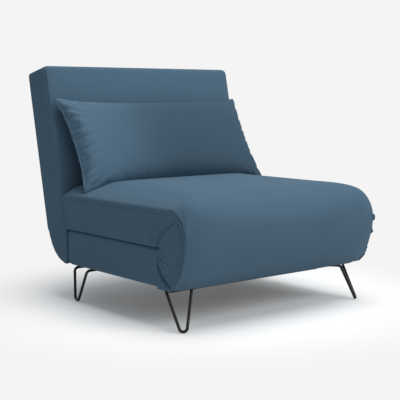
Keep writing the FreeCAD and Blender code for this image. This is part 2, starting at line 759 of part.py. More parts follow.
def rear_fold():
    """The cover's wedge behind the back hinge, which closes when the back lies down."""
    low = V(-HALF, 0, -LOWER_THICKNESS)
    n_y, n_z = polar(BACK_THICKNESS, -BACK_LEAN)
    high = V(-HALF, n_y, n_z)
    m_y, m_z = polar((BACK_THICKNESS + LOWER_THICKNESS) / 2, -(90 + BACK_LEAN) / 2)
    middle = V(-HALF, m_y, m_z)
    corner = V(-HALF, 0, 0)
    edges = [
        Part.LineSegment(corner, low).toShape(),
        Part.Arc(low, middle, high).toShape(),
        Part.LineSegment(high, corner).toShape(),
    ]
    wedge = Part.Face(Part.Wire(edges)).extrude(V(WIDTH, 0, 0))
    shift = PANEL_GAP / math.sin(math.radians(RECLINE / 2))
    s_y, s_z = polar(shift, -(90 + BACK_LEAN) / 2)
    wedge.translate(V(0, HINGE_Y + s_y, FOLD_Z + s_z))
    return wedge.cut(sector_relief())


def lens(length, half_thickness, half_edge, width):
    """A pointed oval with blunt ends along x, extruded over a width along z."""
    half = length / 2
    z = -width / 2
    edges = [
        Part.Arc(V(-half, -half_edge, z), V(0, -half_thickness, z), V(half, -half_edge, z)).toShape(),
        Part.LineSegment(V(half, -half_edge, z), V(half, half_edge, z)).toShape(),
        Part.Arc(V(half, half_edge, z), V(0, half_thickness, z), V(-half, half_edge, z)).toShape(),
        Part.LineSegment(V(-half, half_edge, z), V(-half, -half_edge, z)).toShape(),
    ]
    return Part.Face(Part.Wire(edges)).extrude(V(0, 0, width))


def lumbar_cushion():
    """A knife-edge cushion whose sides pull in between its four corners."""
    half_edge = LUMBAR_EDGE / 2
    half_thick = LUMBAR_THICKNESS / 2
    upright = lens(LUMBAR_HEIGHT, half_thick, half_edge, LUMBAR_WIDTH)
    upright.rotate(V(0, 0, 0), V(0, 1, 0), 90)
    long_way = lens(LUMBAR_WIDTH, half_thick * LUMBAR_FULLNESS, half_edge, LUMBAR_HEIGHT)
    w = LUMBAR_WIDTH / 2
    h = LUMBAR_HEIGHT / 2
    y = -LUMBAR_THICKNESS
    pull = LUMBAR_PULL
    corners = [V(-w, y, -h), V(w, y, -h), V(w, y, h), V(-w, y, h)]
    middles = [V(0, y, pull - h), V(w - pull, y, 0), V(0, y, h - pull), V(pull - w, y, 0)]
    edges = []
    for i in range(4):
        edges.append(Part.Arc(corners[i], middles[i], corners[(i + 1) % 4]).toShape())
    outline = Part.Face(Part.Wire(edges)).extrude(V(0, 2 * LUMBAR_THICKNESS, 0))
    cushion = upright.common(long_way).common(outline)
    cushion.rotate(V(0, 0, 0), V(1, 0, 0), -LUMBAR_TILT)
    cushion.translate(V(0, HINGE_Y - LUMBAR_FORWARD, FOLD_Z + LUMBAR_RISE))
    return cushion


# Pull-out leg frame

def channel_front():
    return FOLD_Y + SLIDE_CROSS_FRONT + SLIDE_CROSS_WIDTH + CHANNEL_SETBACK


def slide_channels():
    """A channel open towards the middle, so the cross tubes can pass along it."""
    x0 = CHANNEL_X - CHANNEL_WIDTH / 2
    x1 = CHANNEL_X + CHANNEL_WIDTH / 2
    top = FLOOR_GAP
    low = FLOOR_GAP - CHANNEL_HEIGHT
    y0 = channel_front()
    y1 = FRAME_REAR
    shell = box(x0, x1, y0, y1, low, top)
    floor = low + CHANNEL_WALL
    mouth_top = slide_tube_low() + SLIDE_CROSS_HEIGHT + SLIDE_FIT
    inside = box(x0 + CHANNEL_WALL, x1 - CHANNEL_WALL, y0 - 1, y1 + 1, floor, top - CHANNEL_WALL)
    mouth = box(x0 - 1, x0 + CHANNEL_WALL + 1, y0 - 1, y1 + 1, floor, mouth_top)
    channel = shell.cut([inside, mouth])
    holes = bolt_holes(channel_bolt_places(), top - CHANNEL_WALL, top)
    access = [pin_up(x, y, low - 1, floor + 1, BOLT_HEAD_RADIUS + 1) for x, y in channel_bolt_places()]
    return pair(channel.cut(holes + access))


def slide_tube_low():
    return FLOOR_GAP - CHANNEL_HEIGHT + CHANNEL_WALL + SLIDE_FIT


def slide_tube_top():
    return FLOOR_GAP - CHANNEL_WALL - BOLT_HEAD - SLIDE_FIT


def slide_tube_span():
    front = FOLD_Y + SLIDE_CROSS_FRONT + SLIDE_CROSS_WIDTH
    return front, front + SLIDE_TRAVEL + SLIDE_OVERLAP


def slide_tubes():
    front, rear = slide_tube_span()
    return pair(tube(
        CHANNEL_X - SLIDE_TUBE_WIDTH / 2,
        CHANNEL_X + SLIDE_TUBE_WIDTH / 2,
        front,
        rear,
        slide_tube_low(),
        slide_tube_top(),
        "y",
    ))


def slide_tube_caps():
    """Plastic plugs in the rear ends of the slide tubes and the ends of the front cross tube."""
    inset = TUBE_WALL + SLAT_FIT
    x0 = CHANNEL_X - SLIDE_TUBE_WIDTH / 2
    x1 = CHANNEL_X + SLIDE_TUBE_WIDTH / 2
    rear = slide_tube_span()[1]
    low = slide_tube_low()
    top = slide_tube_top()
    flange = box(x0, x1, rear, rear + CAP_THICKNESS, low, top)
    plug = box(x0 + inset, x1 - inset, rear - PLUG_DEPTH, rear, low + inset, top - inset)
    caps = pair(flange.fuse(plug).removeSplitter())
    y0 = FOLD_Y + SLIDE_CROSS_FRONT
    y1 = y0 + SLIDE_CROSS_WIDTH
    end = SLIDE_CROSS_REACH
    top = low + SLIDE_CROSS_HEIGHT
    flange = box(end, end + CAP_THICKNESS, y0, y1, low, top)
    plug = box(end - PLUG_DEPTH, end, y0 + inset, y1 - inset, low + inset, top - inset)
    return caps + pair(flange.fuse(plug).removeSplitter())


def slide_pads():
    """Nylon pads between each slide tube and the outer wall of its channel."""
    x0 = CHANNEL_X + SLIDE_TUBE_WIDTH / 2 + PAD_FIT
    x1 = CHANNEL_X + CHANNEL_WIDTH / 2 - CHANNEL_WALL
    y0 = channel_front()
    low = slide_tube_low() + SLIDE_FIT
    top = slide_tube_top() - SLIDE_FIT
    pads = []
    for y in (y0 + SLIDE_FIT, (y0 + FRAME_REAR) / 2):
        pads += pair(box(x0, x1, y, y + PAD_LENGTH, low, top))
    return pads


def slide_runners():
    """Nylon strips on the channel floor that carry the slide tubes."""
    x0 = CHANNEL_X - SLIDE_TUBE_WIDTH / 2
    x1 = CHANNEL_X + SLIDE_TUBE_WIDTH / 2
    low = FLOOR_GAP - CHANNEL_HEIGHT + CHANNEL_WALL
    access = BOLT_HEAD_RADIUS + 2
    runners = []
    for place in channel_bolt_places()[:2]:
        start = place[1] + access
        runners += pair(box(x0, x1, start, start + 2 * PAD_LENGTH, low, slide_tube_low() - PAD_FIT))
    return runners


def slide_cross_places():
    front, rear = slide_tube_span()
    last = rear - SLIDE_CROSS_WIDTH
    return [(front + last) / 2, last]


def front_cross_tube():
    low = slide_tube_low()
    y0 = FOLD_Y + SLIDE_CROSS_FRONT
    end = SLIDE_CROSS_REACH
    cross = tube(-end, end, y0, y0 + SLIDE_CROSS_WIDTH, low, low + SLIDE_CROSS_HEIGHT, "x")
    places = [(side * x, y) for x, y in front_bolt_places() for side in (-1, 1)]
    top = low + SLIDE_CROSS_HEIGHT
    return cross.cut(bolt_holes(places, top - TUBE_WALL, top))


def slide_cross_tubes():
    x1 = CHANNEL_X - SLIDE_TUBE_WIDTH / 2
    low = slide_tube_low()
    tubes = []
    for y in slide_cross_places():
        tubes.append(tube(-x1, x1, y, y + SLIDE_CROSS_WIDTH, low, low + SLIDE_CROSS_HEIGHT, "x"))
    return tubes


# Hairpin legs

def rounded_rod(points, radii):
    """A rod swept along straight runs joined by tangent arcs."""
    edges = []
    here = points[0]
    for i in range(1, len(points) - 1):
        corner = points[i]
        back = (points[i - 1] - corner).normalize()
        ahead = (points[i + 1] - corner).normalize()
        half = math.acos(max(-1.0, min(1.0, back.dot(ahead)))) / 2
        length = radii[i - 1] / math.tan(half)
        start = corner + back * length
        end = corner + ahead * length
        inward = (back + ahead).normalize()
        middle = corner + inward * (radii[i - 1] / math.sin(half) - radii[i - 1])
        edges.append(Part.LineSegment(here, start).toShape())
        edges.append(Part.Arc(start, middle, end).toShape())
        here = end
    edges.append(Part.LineSegment(here, points[-1]).toShape())
    path = Part.Wire(edges)
    circle = Part.Wire(Part.makeCircle(ROD_RADIUS, points[0], (points[1] - points[0]).normalize()))
    return path.makePipeShell([circle], True, False)


def hairpin(top_a, top_b, toe, end_a, end_b):
    """One rod: in along the frame, down to the toe bend on the floor, up and back in."""
    middle = (top_a + top_b) * 0.5
    down = (toe - middle).normalize()
    depth = (toe - middle).Length - LEG_TOE_BEND
    half_spread = (top_b - top_a).Length / 2
    angle = math.atan2(half_spread, depth)
    for _ in range(30):
        angle = math.atan2(half_spread, depth + LEG_TOE_BEND / math.sin(angle))
    apex = middle + down * (depth + LEG_TOE_BEND / math.sin(angle))
    return rounded_rod([end_a, top_a, apex, top_b, end_b], [LEG_BEND, LEG_TOE_BEND, LEG_BEND])


def standing_hairpin(top_a, top_b, toe, end_a, end_b):
    """Lowers the toe bend until the lowest point of the rod is on the floor."""
    rod = hairpin(top_a, top_b, toe, end_a, end_b)
    for _ in range(3):
        toe = toe - V(0, 0, rod.optimalBoundingBox().ZMin)
        rod = hairpin(top_a, top_b, toe, end_a, end_b)
    return rod


def front_leg_frame():
    """Directions of a front leg: across its spread, and inward to the cross tube."""
    turn = math.radians(FRONT_LEG_TURN)
    across = V(math.cos(turn), math.sin(turn), 0)
    inward = V(-math.sin(turn), math.cos(turn), 0)
    middle = V(FRONT_LEG_X, FOLD_Y + FRONT_LEG_Y, ROD_Z)
    return across, inward, middle


def front_leg():
    across, inward, middle = front_leg_frame()
    top_a = middle - across * (LEG_SPREAD / 2)
    top_b = middle + across * (LEG_SPREAD / 2)
    toe = V(FRONT_TOE_X, FOLD_Y + FRONT_TOE_Y, ROD_RADIUS)
    run = inward * FRONT_RUN
    return standing_hairpin(top_a, top_b, toe, top_a + run, top_b + run)


def front_plate_outline(grow):
    across, inward, middle = front_leg_frame()
    half = LEG_SPREAD / 2 + LEG_PLATE_MARGIN + grow
    near = FRONT_RUN - FRONT_PLATE_LENGTH - grow
    far = FRONT_RUN + grow
    return [
        middle - across * half + inward * near,
        middle + across * half + inward * near,
        middle + across * half + inward * far,
        middle - across * half + inward * far,
    ]


def front_bolt_places():
    """Two bolts of each front leg plate, over the front cross tube."""
    across, inward, middle = front_leg_frame()
    y = FOLD_Y + SLIDE_CROSS_FRONT + SLIDE_CROSS_WIDTH / 2
    centre_x = middle.x + inward.x * (y - middle.y) / inward.y
    first_x = centre_x - FRONT_BOLT_OFFSET
    return [(first_x, y), (first_x - FRONT_BOLT_SPACING, y)]


def front_leg_plates():
    low = ROD_Z - ROD_RADIUS - LEG_PLATE_THICKNESS
    points = [V(p.x, p.y, low) for p in front_plate_outline(0.0)]
    plate = Part.Face(Part.makePolygon(points + points[:1])).extrude(V(0, 0, LEG_PLATE_THICKNESS))
    return pair(plate.cut(bolt_holes(front_bolt_places(), low, low + LEG_PLATE_THICKNESS)))


def rear_leg():
    middle = V(REAR_LEG_X, FOLD_Y + REAR_LEG_Y, ROD_Z - LEG_PLATE_THICKNESS + ROD_TO_CUSHION)
    top_a = middle - V(0, LEG_SPREAD / 2, 0)
    top_b = middle + V(0, LEG_SPREAD / 2, 0)
    toe = V(REAR_TOE_X, FOLD_Y + REAR_TOE_Y, ROD_RADIUS)
    run = V(REAR_PLATE_X - REAR_LEG_X, 0, 0)
    return standing_hairpin(top_a, top_b, toe, top_a + run, top_b + run)


def rear_bolt_places():
    x = (RAIL_INNER_X + RAIL_OUTER_X) / 2
    middle = FOLD_Y + REAR_LEG_Y
    return [(x, middle - LEG_SPREAD / 4), (x, middle + LEG_SPREAD / 4)]


def rear_leg_plates():
    middle = FOLD_Y + REAR_LEG_Y
    half = LEG_SPREAD / 2 + LEG_PLATE_MARGIN
    low = FLOOR_GAP - LEG_PLATE_THICKNESS
    x1 = REAR_PLATE_X + REAR_PLATE_LENGTH
    plate = box(REAR_PLATE_X, x1, middle - half, middle + half, low, FLOOR_GAP)
    return pair(plate.cut(bolt_holes(rear_bolt_places(), low, FLOOR_GAP)))


# Fasteners and underside cover

def bolt_up(x, y, seat_z):
    """A bolt with its head under the seat, driven upwards."""
    head = pin_up(x, y, seat_z - BOLT_HEAD, seat_z, BOLT_HEAD_RADIUS)
    shank = pin_up(x, y, seat_z, seat_z + BOLT_LENGTH, BOLT_RADIUS)
    return head.fuse(shank).removeSplitter()


def bolt_down(x, y, seat_z):
    head = pin_up(x, y, seat_z, seat_z + BOLT_HEAD, BOLT_HEAD_RADIUS)
    shank = pin_up(x, y, seat_z - BOLT_LENGTH, seat_z, BOLT_RADIUS)
    return head.fuse(shank).removeSplitter()


def rear_leg_bolts():
    bolts = []
    for x, y in rear_bolt_places():
        bolts += pair(bolt_up(x, y, FLOOR_GAP - LEG_PLATE_THICKNESS))
    return bolts


def front_leg_bolts():
    bolts = []
    for x, y in front_bolt_places():
        bolts += pair(bolt_down(x, y, ROD_Z - ROD_RADIUS))
    return bolts


def channel_bolts():
    bolts = []
    for x, y in channel_bolt_places():
        bolts += pair(bolt_up(x, y, FLOOR_GAP - CHANNEL_WALL))
    return bolts


def underside_cover():
    """Thin cloth stretched under the lower section, cut away round the leg plates and channels."""
    low = FLOOR_GAP - COVER_THICKNESS
    sheet = box(-RAIL_OUTER_X, RAIL_OUTER_X, FRAME_FRONT, FRAME_REAR, low, FLOOR_GAP)
    channel = box(
        CHANNEL_X - CHANNEL_WIDTH / 2 - COVER_GAP,
        CHANNEL_X + CHANNEL_WIDTH / 2 + COVER_GAP,
        channel_front() - COVER_GAP,
        FRAME_REAR + 1,
        low - 1,
        FLOOR_GAP + 1,
    )
    plate = around(rear_leg_plates()[1], COVER_GAP)
    return sheet.cut(pair(channel) + pair(plate))


def solids_of(shapes):
    found = []
    for shape in shapes:
        found += shape.Solids
    return found


def write(name, shapes):
    solids = solids_of(shapes)
    for solid in solids:
        assert solid.isValid(), name
    whole = solids[0] if len(solids) == 1 else Part.makeCompound(solids)
    whole.exportStep("parts/" + name + ".step")


def build():
    """Every node of the chair bed, by name, as a list of its solids."""
    parked = parked_pawl()
    arm = back_arm()
    leg_front = front_leg()
    leg_rear = rear_leg()
    return {
        "lower_cushion": [lower_cushion()],
        "underside_cover": [underside_cover()],
        "base_side_rails": base_side_rails(),
        "base_cross_rails": base_cross_rails(),
        "base_slats": base_slats(),
        "slat_holders": slat_holders(),
        "slide_channels": slide_channels(),
        "slide_pads": slide_pads(),
        "slide_runners": slide_runners(),
        "channel_bolts": channel_bolts(),
        "front_hinge_brackets": front_hinge_brackets(),
        "front_hinge_pins": pair(pivot_pin(FOLD_Y, FOLD_Z)),
        "back_hinge_plates": back_hinge_plates(),
        "back_hinge_pins": pair(pivot_pin(HINGE_Y, FOLD_Z)),
        "pawl_pins": pawl_pins(),
        "pawl_springs": pawl_springs(),
        "rear_leg_left": [mirrored(leg_rear)],
        "rear_leg_right": [leg_rear],
        "rear_leg_plates": rear_leg_plates(),
        "rear_leg_bolts": rear_leg_bolts(),
        "upper_cushion": [upper_cushion()],
        "front_fold": [front_fold()],
        "seat_frame_sides": seat_frame_sides(),
        "seat_frame_cross": seat_frame_cross(),
        "seat_webbing": seat_webbing(),
        "seat_hinge_arms": seat_hinge_arms(),
        "back_cushion": [back_cushion()],
        "rear_fold": [rear_fold()],
        "back_frame_sides": place_back(back_frame_sides()),
        "back_frame_cross": place_back(back_frame_cross()),
        "back_webbing": place_back(back_webbing()),
        "back_hinge_arms": place_back(pair(arm)),
        "pawl_left": [mirrored(parked)],
        "pawl_right": [parked],
        "slide_tubes": slide_tubes(),
        "slide_tube_caps": slide_tube_caps(),
        "slide_cross_tubes": slide_cross_tubes(),
        "front_cross_tube": [front_cross_tube()],
        "front_leg_left": [mirrored(leg_front)],
        "front_leg_right": [leg_front],
        "front_leg_plates": front_leg_plates(),
        "front_leg_bolts": front_leg_bolts(),
        "lumbar_cushion": [lumbar_cushion()],
    }


def main():
    os.makedirs("parts", exist_ok=True)
    for name, shapes in build().items():
        write(name, shapes)
    print("front fold axis y", round(FOLD_Y, 3), "z", FOLD_Z)
    print("back hinge axis y", round(HINGE_Y, 3), "z", FOLD_Z)
    print("pawl axis y", round(HINGE_Y + PAWL_PIVOT_Y, 3), "z", FOLD_Z + PAWL_PIVOT_Z)


if __name__ == "__main__":
    main()
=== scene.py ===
import math

import bpy
import numpy as np
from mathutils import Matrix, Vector
from mathutils.kdtree import KDTree


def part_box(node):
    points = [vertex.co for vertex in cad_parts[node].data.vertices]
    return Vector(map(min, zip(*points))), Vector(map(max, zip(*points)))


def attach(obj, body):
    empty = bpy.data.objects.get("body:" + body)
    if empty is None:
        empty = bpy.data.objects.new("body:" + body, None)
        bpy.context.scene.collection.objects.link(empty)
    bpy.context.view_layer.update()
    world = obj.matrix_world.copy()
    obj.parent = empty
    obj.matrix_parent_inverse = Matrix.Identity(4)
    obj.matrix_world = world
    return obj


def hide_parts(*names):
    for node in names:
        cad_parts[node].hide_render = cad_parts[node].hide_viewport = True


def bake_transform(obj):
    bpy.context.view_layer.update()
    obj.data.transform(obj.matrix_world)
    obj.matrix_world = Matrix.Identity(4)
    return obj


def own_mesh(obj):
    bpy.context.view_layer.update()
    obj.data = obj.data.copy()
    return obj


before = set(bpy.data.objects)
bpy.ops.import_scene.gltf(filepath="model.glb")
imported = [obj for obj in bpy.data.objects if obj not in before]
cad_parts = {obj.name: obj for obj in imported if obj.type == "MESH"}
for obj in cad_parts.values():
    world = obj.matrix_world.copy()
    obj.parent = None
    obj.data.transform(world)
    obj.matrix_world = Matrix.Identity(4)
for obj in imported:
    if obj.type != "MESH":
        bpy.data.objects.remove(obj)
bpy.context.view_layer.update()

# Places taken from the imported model, in metres
lower_low, lower_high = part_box("lower_cushion")
FOLD = Vector((0.0, -0.323276, 0.270))
HINGE = Vector((0.0, 0.231724, 0.270))
LEAN = math.radians(12.25)
HALF = lower_high[0]
FLOOR_GAP = lower_low[2]
SEAT_SIDE_Z = 0.388
CROWN_RISE = 0.043
NOSE_REACH = 0.019
BACK_LENGTH = 0.603
BACK_THICK = 0.131

# Lumbar cushion
LUMBAR_SIZE = (0.842, 0.373, 0.134)
LUMBAR_TILT = math.radians(28.8)
LUMBAR_MIDDLE = Vector((0.0, 0.217724, 0.570))
LUMBAR_FILL = 0.024
LUMBAR_FOLD_SHARE = 0.7
WELT_RADIUS = 0.0034


# Mesh helpers

def deselect():
    if bpy.context.mode != "OBJECT":
        bpy.ops.object.mode_set(mode="OBJECT")
    bpy.ops.object.select_all(action="DESELECT")


def activate(obj):
    deselect()
    obj.select_set(True)
    bpy.context.view_layer.objects.active = obj


def points(obj):
    flat = np.empty(len(obj.data.vertices) * 3)
    obj.data.vertices.foreach_get("co", flat)
    return flat.reshape(-1, 3)


def normals(obj):
    flat = np.empty(len(obj.data.vertices) * 3)
    obj.data.vertices.foreach_get("normal", flat)
    return flat.reshape(-1, 3)


def set_points(obj, co):
    obj.data.vertices.foreach_set("co", np.ascontiguousarray(co, dtype=np.float32).ravel())
    obj.data.update()


def block(name, low, high, cuts=0, edge=0.0, segments=3):
    """A box between two corners, its edges bevelled and its faces subdivided."""
    deselect()
    middle = [(a + b) / 2 for a, b in zip(low, high)]
    bpy.ops.mesh.primitive_cube_add(size=1, location=middle)
    obj = bpy.context.active_object
    obj.name = name
    obj.scale = [b - a for a, b in zip(low, high)]
    bpy.ops.object.transform_apply(location=True, rotation=True, scale=True)
    bpy.ops.object.mode_set(mode="EDIT")
    bpy.ops.mesh.select_all(action="SELECT")
    if edge:
        bpy.ops.mesh.bevel(offset=edge, segments=segments, affect="EDGES")
        bpy.ops.mesh.select_all(action="SELECT")
    if cuts:
        bpy.ops.mesh.subdivide(number_cuts=cuts)
    bpy.ops.object.mode_set(mode="OBJECT")
    return obj


def drawn_section(name, outline, x0, x1, steps, edge, segments=4):
    """A section drawn in the side plane, pulled across the width, with its end edges rounded."""
    deselect()
    bpy.ops.mesh.primitive_circle_add(vertices=len(outline), radius=1, fill_type="NGON")
    obj = bpy.context.active_object
    obj.name = name
    set_points(obj, np.array([(x0, y, z) for y, z in outline]))
    bpy.ops.object.mode_set(mode="EDIT")
    bpy.ops.mesh.select_all(action="SELECT")
    for _ in range(steps):
        bpy.ops.mesh.extrude_region_move(TRANSFORM_OT_translate={"value": ((x1 - x0) / steps, 0, 0)})
    bpy.ops.object.mode_set(mode="OBJECT")
    for e in obj.data.edges:
        a, b = (obj.data.vertices[i].co for i in e.vertices)
        e.select = abs(a.x - b.x) < 1e-5 and min(abs(a.x - x0), abs(a.x - x1)) < 1e-5
    for v in obj.data.vertices:
        v.select = min(abs(v.co.x - x0), abs(v.co.x - x1)) < 1e-5
    bpy.ops.object.mode_set(mode="EDIT")
    bpy.ops.mesh.normals_make_consistent(inside=False)
    if edge:
        bpy.ops.mesh.bevel(offset=edge, segments=segments, affect="EDGES", clamp_overlap=True)
    bpy.ops.object.mode_set(mode="OBJECT")
    return obj


def arc_points(start, upright_at, end, count):
    """Points of an arc that leaves start upright and passes through end; upright_at tells its side."""
    away = end[0] - start[0]
    rise = end[1] - start[1]
    radius = (away ** 2 + rise ** 2) / (2 * away)
    turn = math.atan2(rise, radius - away)
    found = []
    for i in range(count + 1):
        a = turn * i / count
        found.append((start[0] + radius * (1 - math.cos(a)), start[1] + radius * math.sin(a)))
    return found if upright_at else found[::-1]


def remesh(obj, voxel):
    activate(obj)
    obj.data.remesh_voxel_size = voxel
    bpy.ops.object.voxel_remesh()


def neighbours(obj):
    flat = np.empty(len(obj.data.edges) * 2, dtype=np.int64)
    obj.data.edges.foreach_get("vertices", flat)
    return flat.reshape(-1, 2)


def relax(obj, rounds):
    """Evens the surface out, each point going towards the middle of its neighbours."""
    co = points(obj)
    pairs = neighbours(obj)
    count = np.bincount(pairs.ravel(), minlength=len(co))[:, None]
    for _ in range(rounds):
        total = np.zeros_like(co)
        np.add.at(total, pairs[:, 0], co[pairs[:, 1]])
        np.add.at(total, pairs[:, 1], co[pairs[:, 0]])
        co = co + (total / count - co) * 0.5
    set_points(obj, co)


def near(co, line, step=0.004):
    """Each point's distance to a line of points."""
    tree_points = []
    for a, b in zip(line[:-1], line[1:]):
        a = np.array(a, dtype=float)
        b = np.array(b, dtype=float)
        n = max(1, int(np.linalg.norm(b - a) / step))
        tree_points += [a + (b - a) * i / n for i in range(n)]
    tree_points.append(np.array(line[-1], dtype=float))
    tree = KDTree(len(tree_points))
    for i, p in enumerate(tree_points):
        tree.insert(p, i)
    tree.balance()
    return np.array([tree.find(p)[2] for p in co])


def inflate(obj, pressure, cap, held, frames=20, stiffness=12.0, bending=0.6):
    """Blows the cover up as cloth, held at its seams, and limits how far a point may go."""
    rest = points(obj)
    activate(obj)
    group = obj.vertex_groups.new(name="held")
    for level in np.unique(np.round(held, 1)):
        if level > 0:
            chosen = np.flatnonzero(np.abs(np.round(held, 1) - level) < 0.05)
            group.add([int(i) for i in chosen], float(level), "REPLACE")
    cloth = obj.modifiers.new("Cloth", "CLOTH")
    settings = cloth.settings
    settings.quality = 6
    settings.mass = 0.3
    settings.tension_stiffness = stiffness
    settings.compression_stiffness = stiffness
    settings.shear_stiffness = stiffness / 2
    settings.bending_stiffness = bending
    settings.use_pressure = True
    settings.uniform_pressure_force = pressure
    settings.effector_weights.gravity = 0
    settings.vertex_group_mass = "held"
    settings.pin_stiffness = 1.0
    cloth.collision_settings.use_collision = False
    cloth.point_cache.frame_start = 1
    cloth.point_cache.frame_end = frames
    scene = bpy.context.scene
    for number in range(1, frames + 1):
        scene.frame_set(number)
    bpy.ops.object.modifier_apply(modifier="Cloth")
    scene.frame_set(1)
    moved = points(obj) - rest
    length = np.maximum(np.linalg.norm(moved, axis=1, keepdims=True), 1e-9)
    set_points(obj, rest + moved / length * cap * np.tanh(length / cap))
    obj.vertex_groups.clear()


def subdivided(obj):
    activate(obj)
    smooth = obj.modifiers.new("Smooth surface", "SUBSURF")
    smooth.levels = 1
    smooth.render_levels = 1
    bpy.ops.object.modifier_apply(modifier="Smooth surface")
    bpy.ops.object.shade_smooth()


def soft_step(t):
    t = np.clip(t, 0, 1)
    return t * t * (3 - 2 * t)


def hold_near(co, lines, inner=0.003, outer=0.016):
    held = np.zeros(len(co))
    for line in lines:
        held = np.maximum(held, 1 - soft_step((near(co, line) - inner) / (outer - inner)))
    return held


def off_line(p, line):
    """Each flat point's distance to a drawn line of flat points, and how far along the line it lies."""
    best = np.full(len(p), 9.0)
    along = np.zeros(len(p))
    total = sum(math.dist(a, b) for a, b in zip(line[:-1], line[1:]))
    done = 0.0
    for a, b in zip(line[:-1], line[1:]):
        a = np.array(a)
        run = np.array(b) - a
        length = np.linalg.norm(run)
        t = np.clip((p - a) @ run / length ** 2, 0, 1)
        d = np.linalg.norm(p - a - t[:, None] * run, axis=1)
        closer = d < best
        best = np.where(closer, d, best)
        along = np.where(closer, (done + t * length) / total, along)
        done += length
    return best, along


def curve_through(points_in, count=24):
    """A smooth line through a few drawn points."""
    p = [np.array(q, dtype=float) for q in points_in]
    p = [2 * p[0] - p[1]] + p + [2 * p[-1] - p[-2]]
    found = []
    for a, b, c, d in zip(p[:-3], p[1:-2], p[2:-1], p[3:]):
        for i in range(count):
            t = i / count
            found.append(tuple(0.5 * (2 * b + (c - a) * t + (2 * a - 5 * b + 4 * c - d) * t ** 2
                                      + (3 * b - a - 3 * c + d) * t ** 3)))
    found.append(tuple(p[-2]))
    return found


def groove(p, line, depth, width, lip=0.35):
    """How far a sewn seam sinks at each point, with a slight rise at both sides of the stitches."""
    d, _ = off_line(p, line)
    return -depth * np.exp(-(d / width) ** 2) + lip * depth * np.exp(-((d - 2.6 * width) / (1.3 * width)) ** 2)


def creases(p, marks):
    """Pulled folds in the cloth: each mark is a start, an end, a depth and a width, and fades to its end."""
    total = np.zeros(len(p))
    for start, end, depth, width in marks:
        mid = ((start[0] + end[0]) / 2, (start[1] + end[1]) / 2)
        bow = 0.05 * math.dist(start, end)
        mid = (mid[0] + bow, mid[1] - bow)
        d, t = off_line(p, curve_through([start, mid, end], 5))
        fade = np.clip(1 - t, 0, 1) ** 0.8 * np.clip(0.45 + 4 * t, 0, 1)
        total -= depth * fade * np.exp(-(d / width) ** 2)
        total += 0.55 * depth * fade * np.exp(-((d - 2.1 * width) / (1.2 * width)) ** 2)
    return total


def push(obj, amount):
    """Moves each point along the surface's normal."""
    set_points(obj, points(obj) + normals(obj) * amount[:, None])


def cord_along(name, line, radius, flat, sides=8):
    """A sewn-in cord: a tube that follows a line of points, closed at both ends; flat faces the line's plane."""
    p = np.array(line, dtype=float)
    run = np.gradient(p, axis=0)
    run /= np.linalg.norm(run, axis=1, keepdims=True)
    side = np.tile(np.array(flat, dtype=float), (len(p), 1))
    other = np.cross(run, side)
    other /= np.linalg.norm(other, axis=1, keepdims=True)
    made = bpy.data.meshes.new(name)
    rim = [2 * math.pi * i / sides for i in range(sides)]
    co = [tuple(c + radius * (math.cos(a) * u + math.sin(a) * w)) for c, u, w in zip(p, side, other) for a in rim]
    faces = []
    for k in range(len(p) - 1):
        for i in range(sides):
            j = (i + 1) % sides
            faces.append((k * sides + i, (k + 1) * sides + i, (k + 1) * sides + j, k * sides + j))
    faces.append(tuple(range(sides)))
    faces.append(tuple(reversed(range((len(p) - 1) * sides, len(p) * sides))))
    made.from_pydata(co, [], faces)
    obj = bpy.data.objects.new(name, made)
    bpy.context.collection.objects.link(obj)
    activate(obj)
    bpy.ops.object.mode_set(mode="EDIT")
    bpy.ops.mesh.select_all(action="SELECT")
    bpy.ops.mesh.normals_make_consistent(inside=False)
    bpy.ops.object.mode_set(mode="OBJECT")
    bpy.ops.object.shade_smooth()
    return obj


def join_to(piece, others):
    activate(piece)
    for other in others:
        other.select_set(True)
    bpy.ops.object.join()
    return bpy.context.active_object


# Camera

camera_data = bpy.data.cameras.new("Camera")
camera = bpy.data.objects.new("Camera", camera_data)
bpy.context.collection.objects.link(camera)
camera.location = (-2.218, -2.7213, 0.750)
camera.rotation_euler = (math.radians(90 - 6.3), 0, math.radians(-39.2))
camera_data.sensor_width = 36
camera_data.lens = 84.87
bpy.context.scene.camera = camera


# Seat cover: the upper section and the wrap round its front, one cover

def seat_outline():
    """The cover's section in the side plane, from the back's foot round the top and the nose."""
    y = FOLD.y
    lean = math.tan(LEAN)
    rear_low = (HINGE.y - 0.002, FOLD.z + 0.001)
    rear_high = (HINGE.y - 0.002 + (SEAT_SIDE_Z - FOLD.z) * lean, SEAT_SIDE_Z)
    outline = [
        rear_low,
        (rear_low[0] + 0.010 * lean, rear_low[1] + 0.012),
        (rear_high[0] - 0.016 * lean, rear_high[1] - 0.016),
        (rear_high[0] - 0.006, rear_high[1] - 0.005),
        (rear_high[0] - 0.020, rear_high[1]),
    ]
    for i in range(1, 12):
        outline.append((rear_high[0] - 0.020 - (rear_high[0] - 0.020 - (y - 0.070)) * i / 12, SEAT_SIDE_Z))
    nose = (y - 0.141, FOLD.z + 0.048)
    shoulder = (y - 0.078, SEAT_SIDE_Z + 0.001)
    heel = (y - 0.100, FLOOR_GAP + 0.033)
    toe = (y - 0.045, FLOOR_GAP + 0.001)
    outline += arc_points(nose, False, shoulder, 8)
    outline += arc_points(nose, True, heel, 9)[1:]
    outline += [(y - 0.076, FLOOR_GAP + 0.010), toe, (y - 0.020, FLOOR_GAP), (y + 0.014, FLOOR_GAP)]
    for i in range(1, 6):
        outline.append((y + 0.014, FLOOR_GAP + (FOLD.z + 0.001 - FLOOR_GAP) * i / 5))
    for i in range(1, 10):
        outline.append((y + (rear_low[0] - y) * i / 10, FOLD.z + 0.001))
    return outline[::-1]


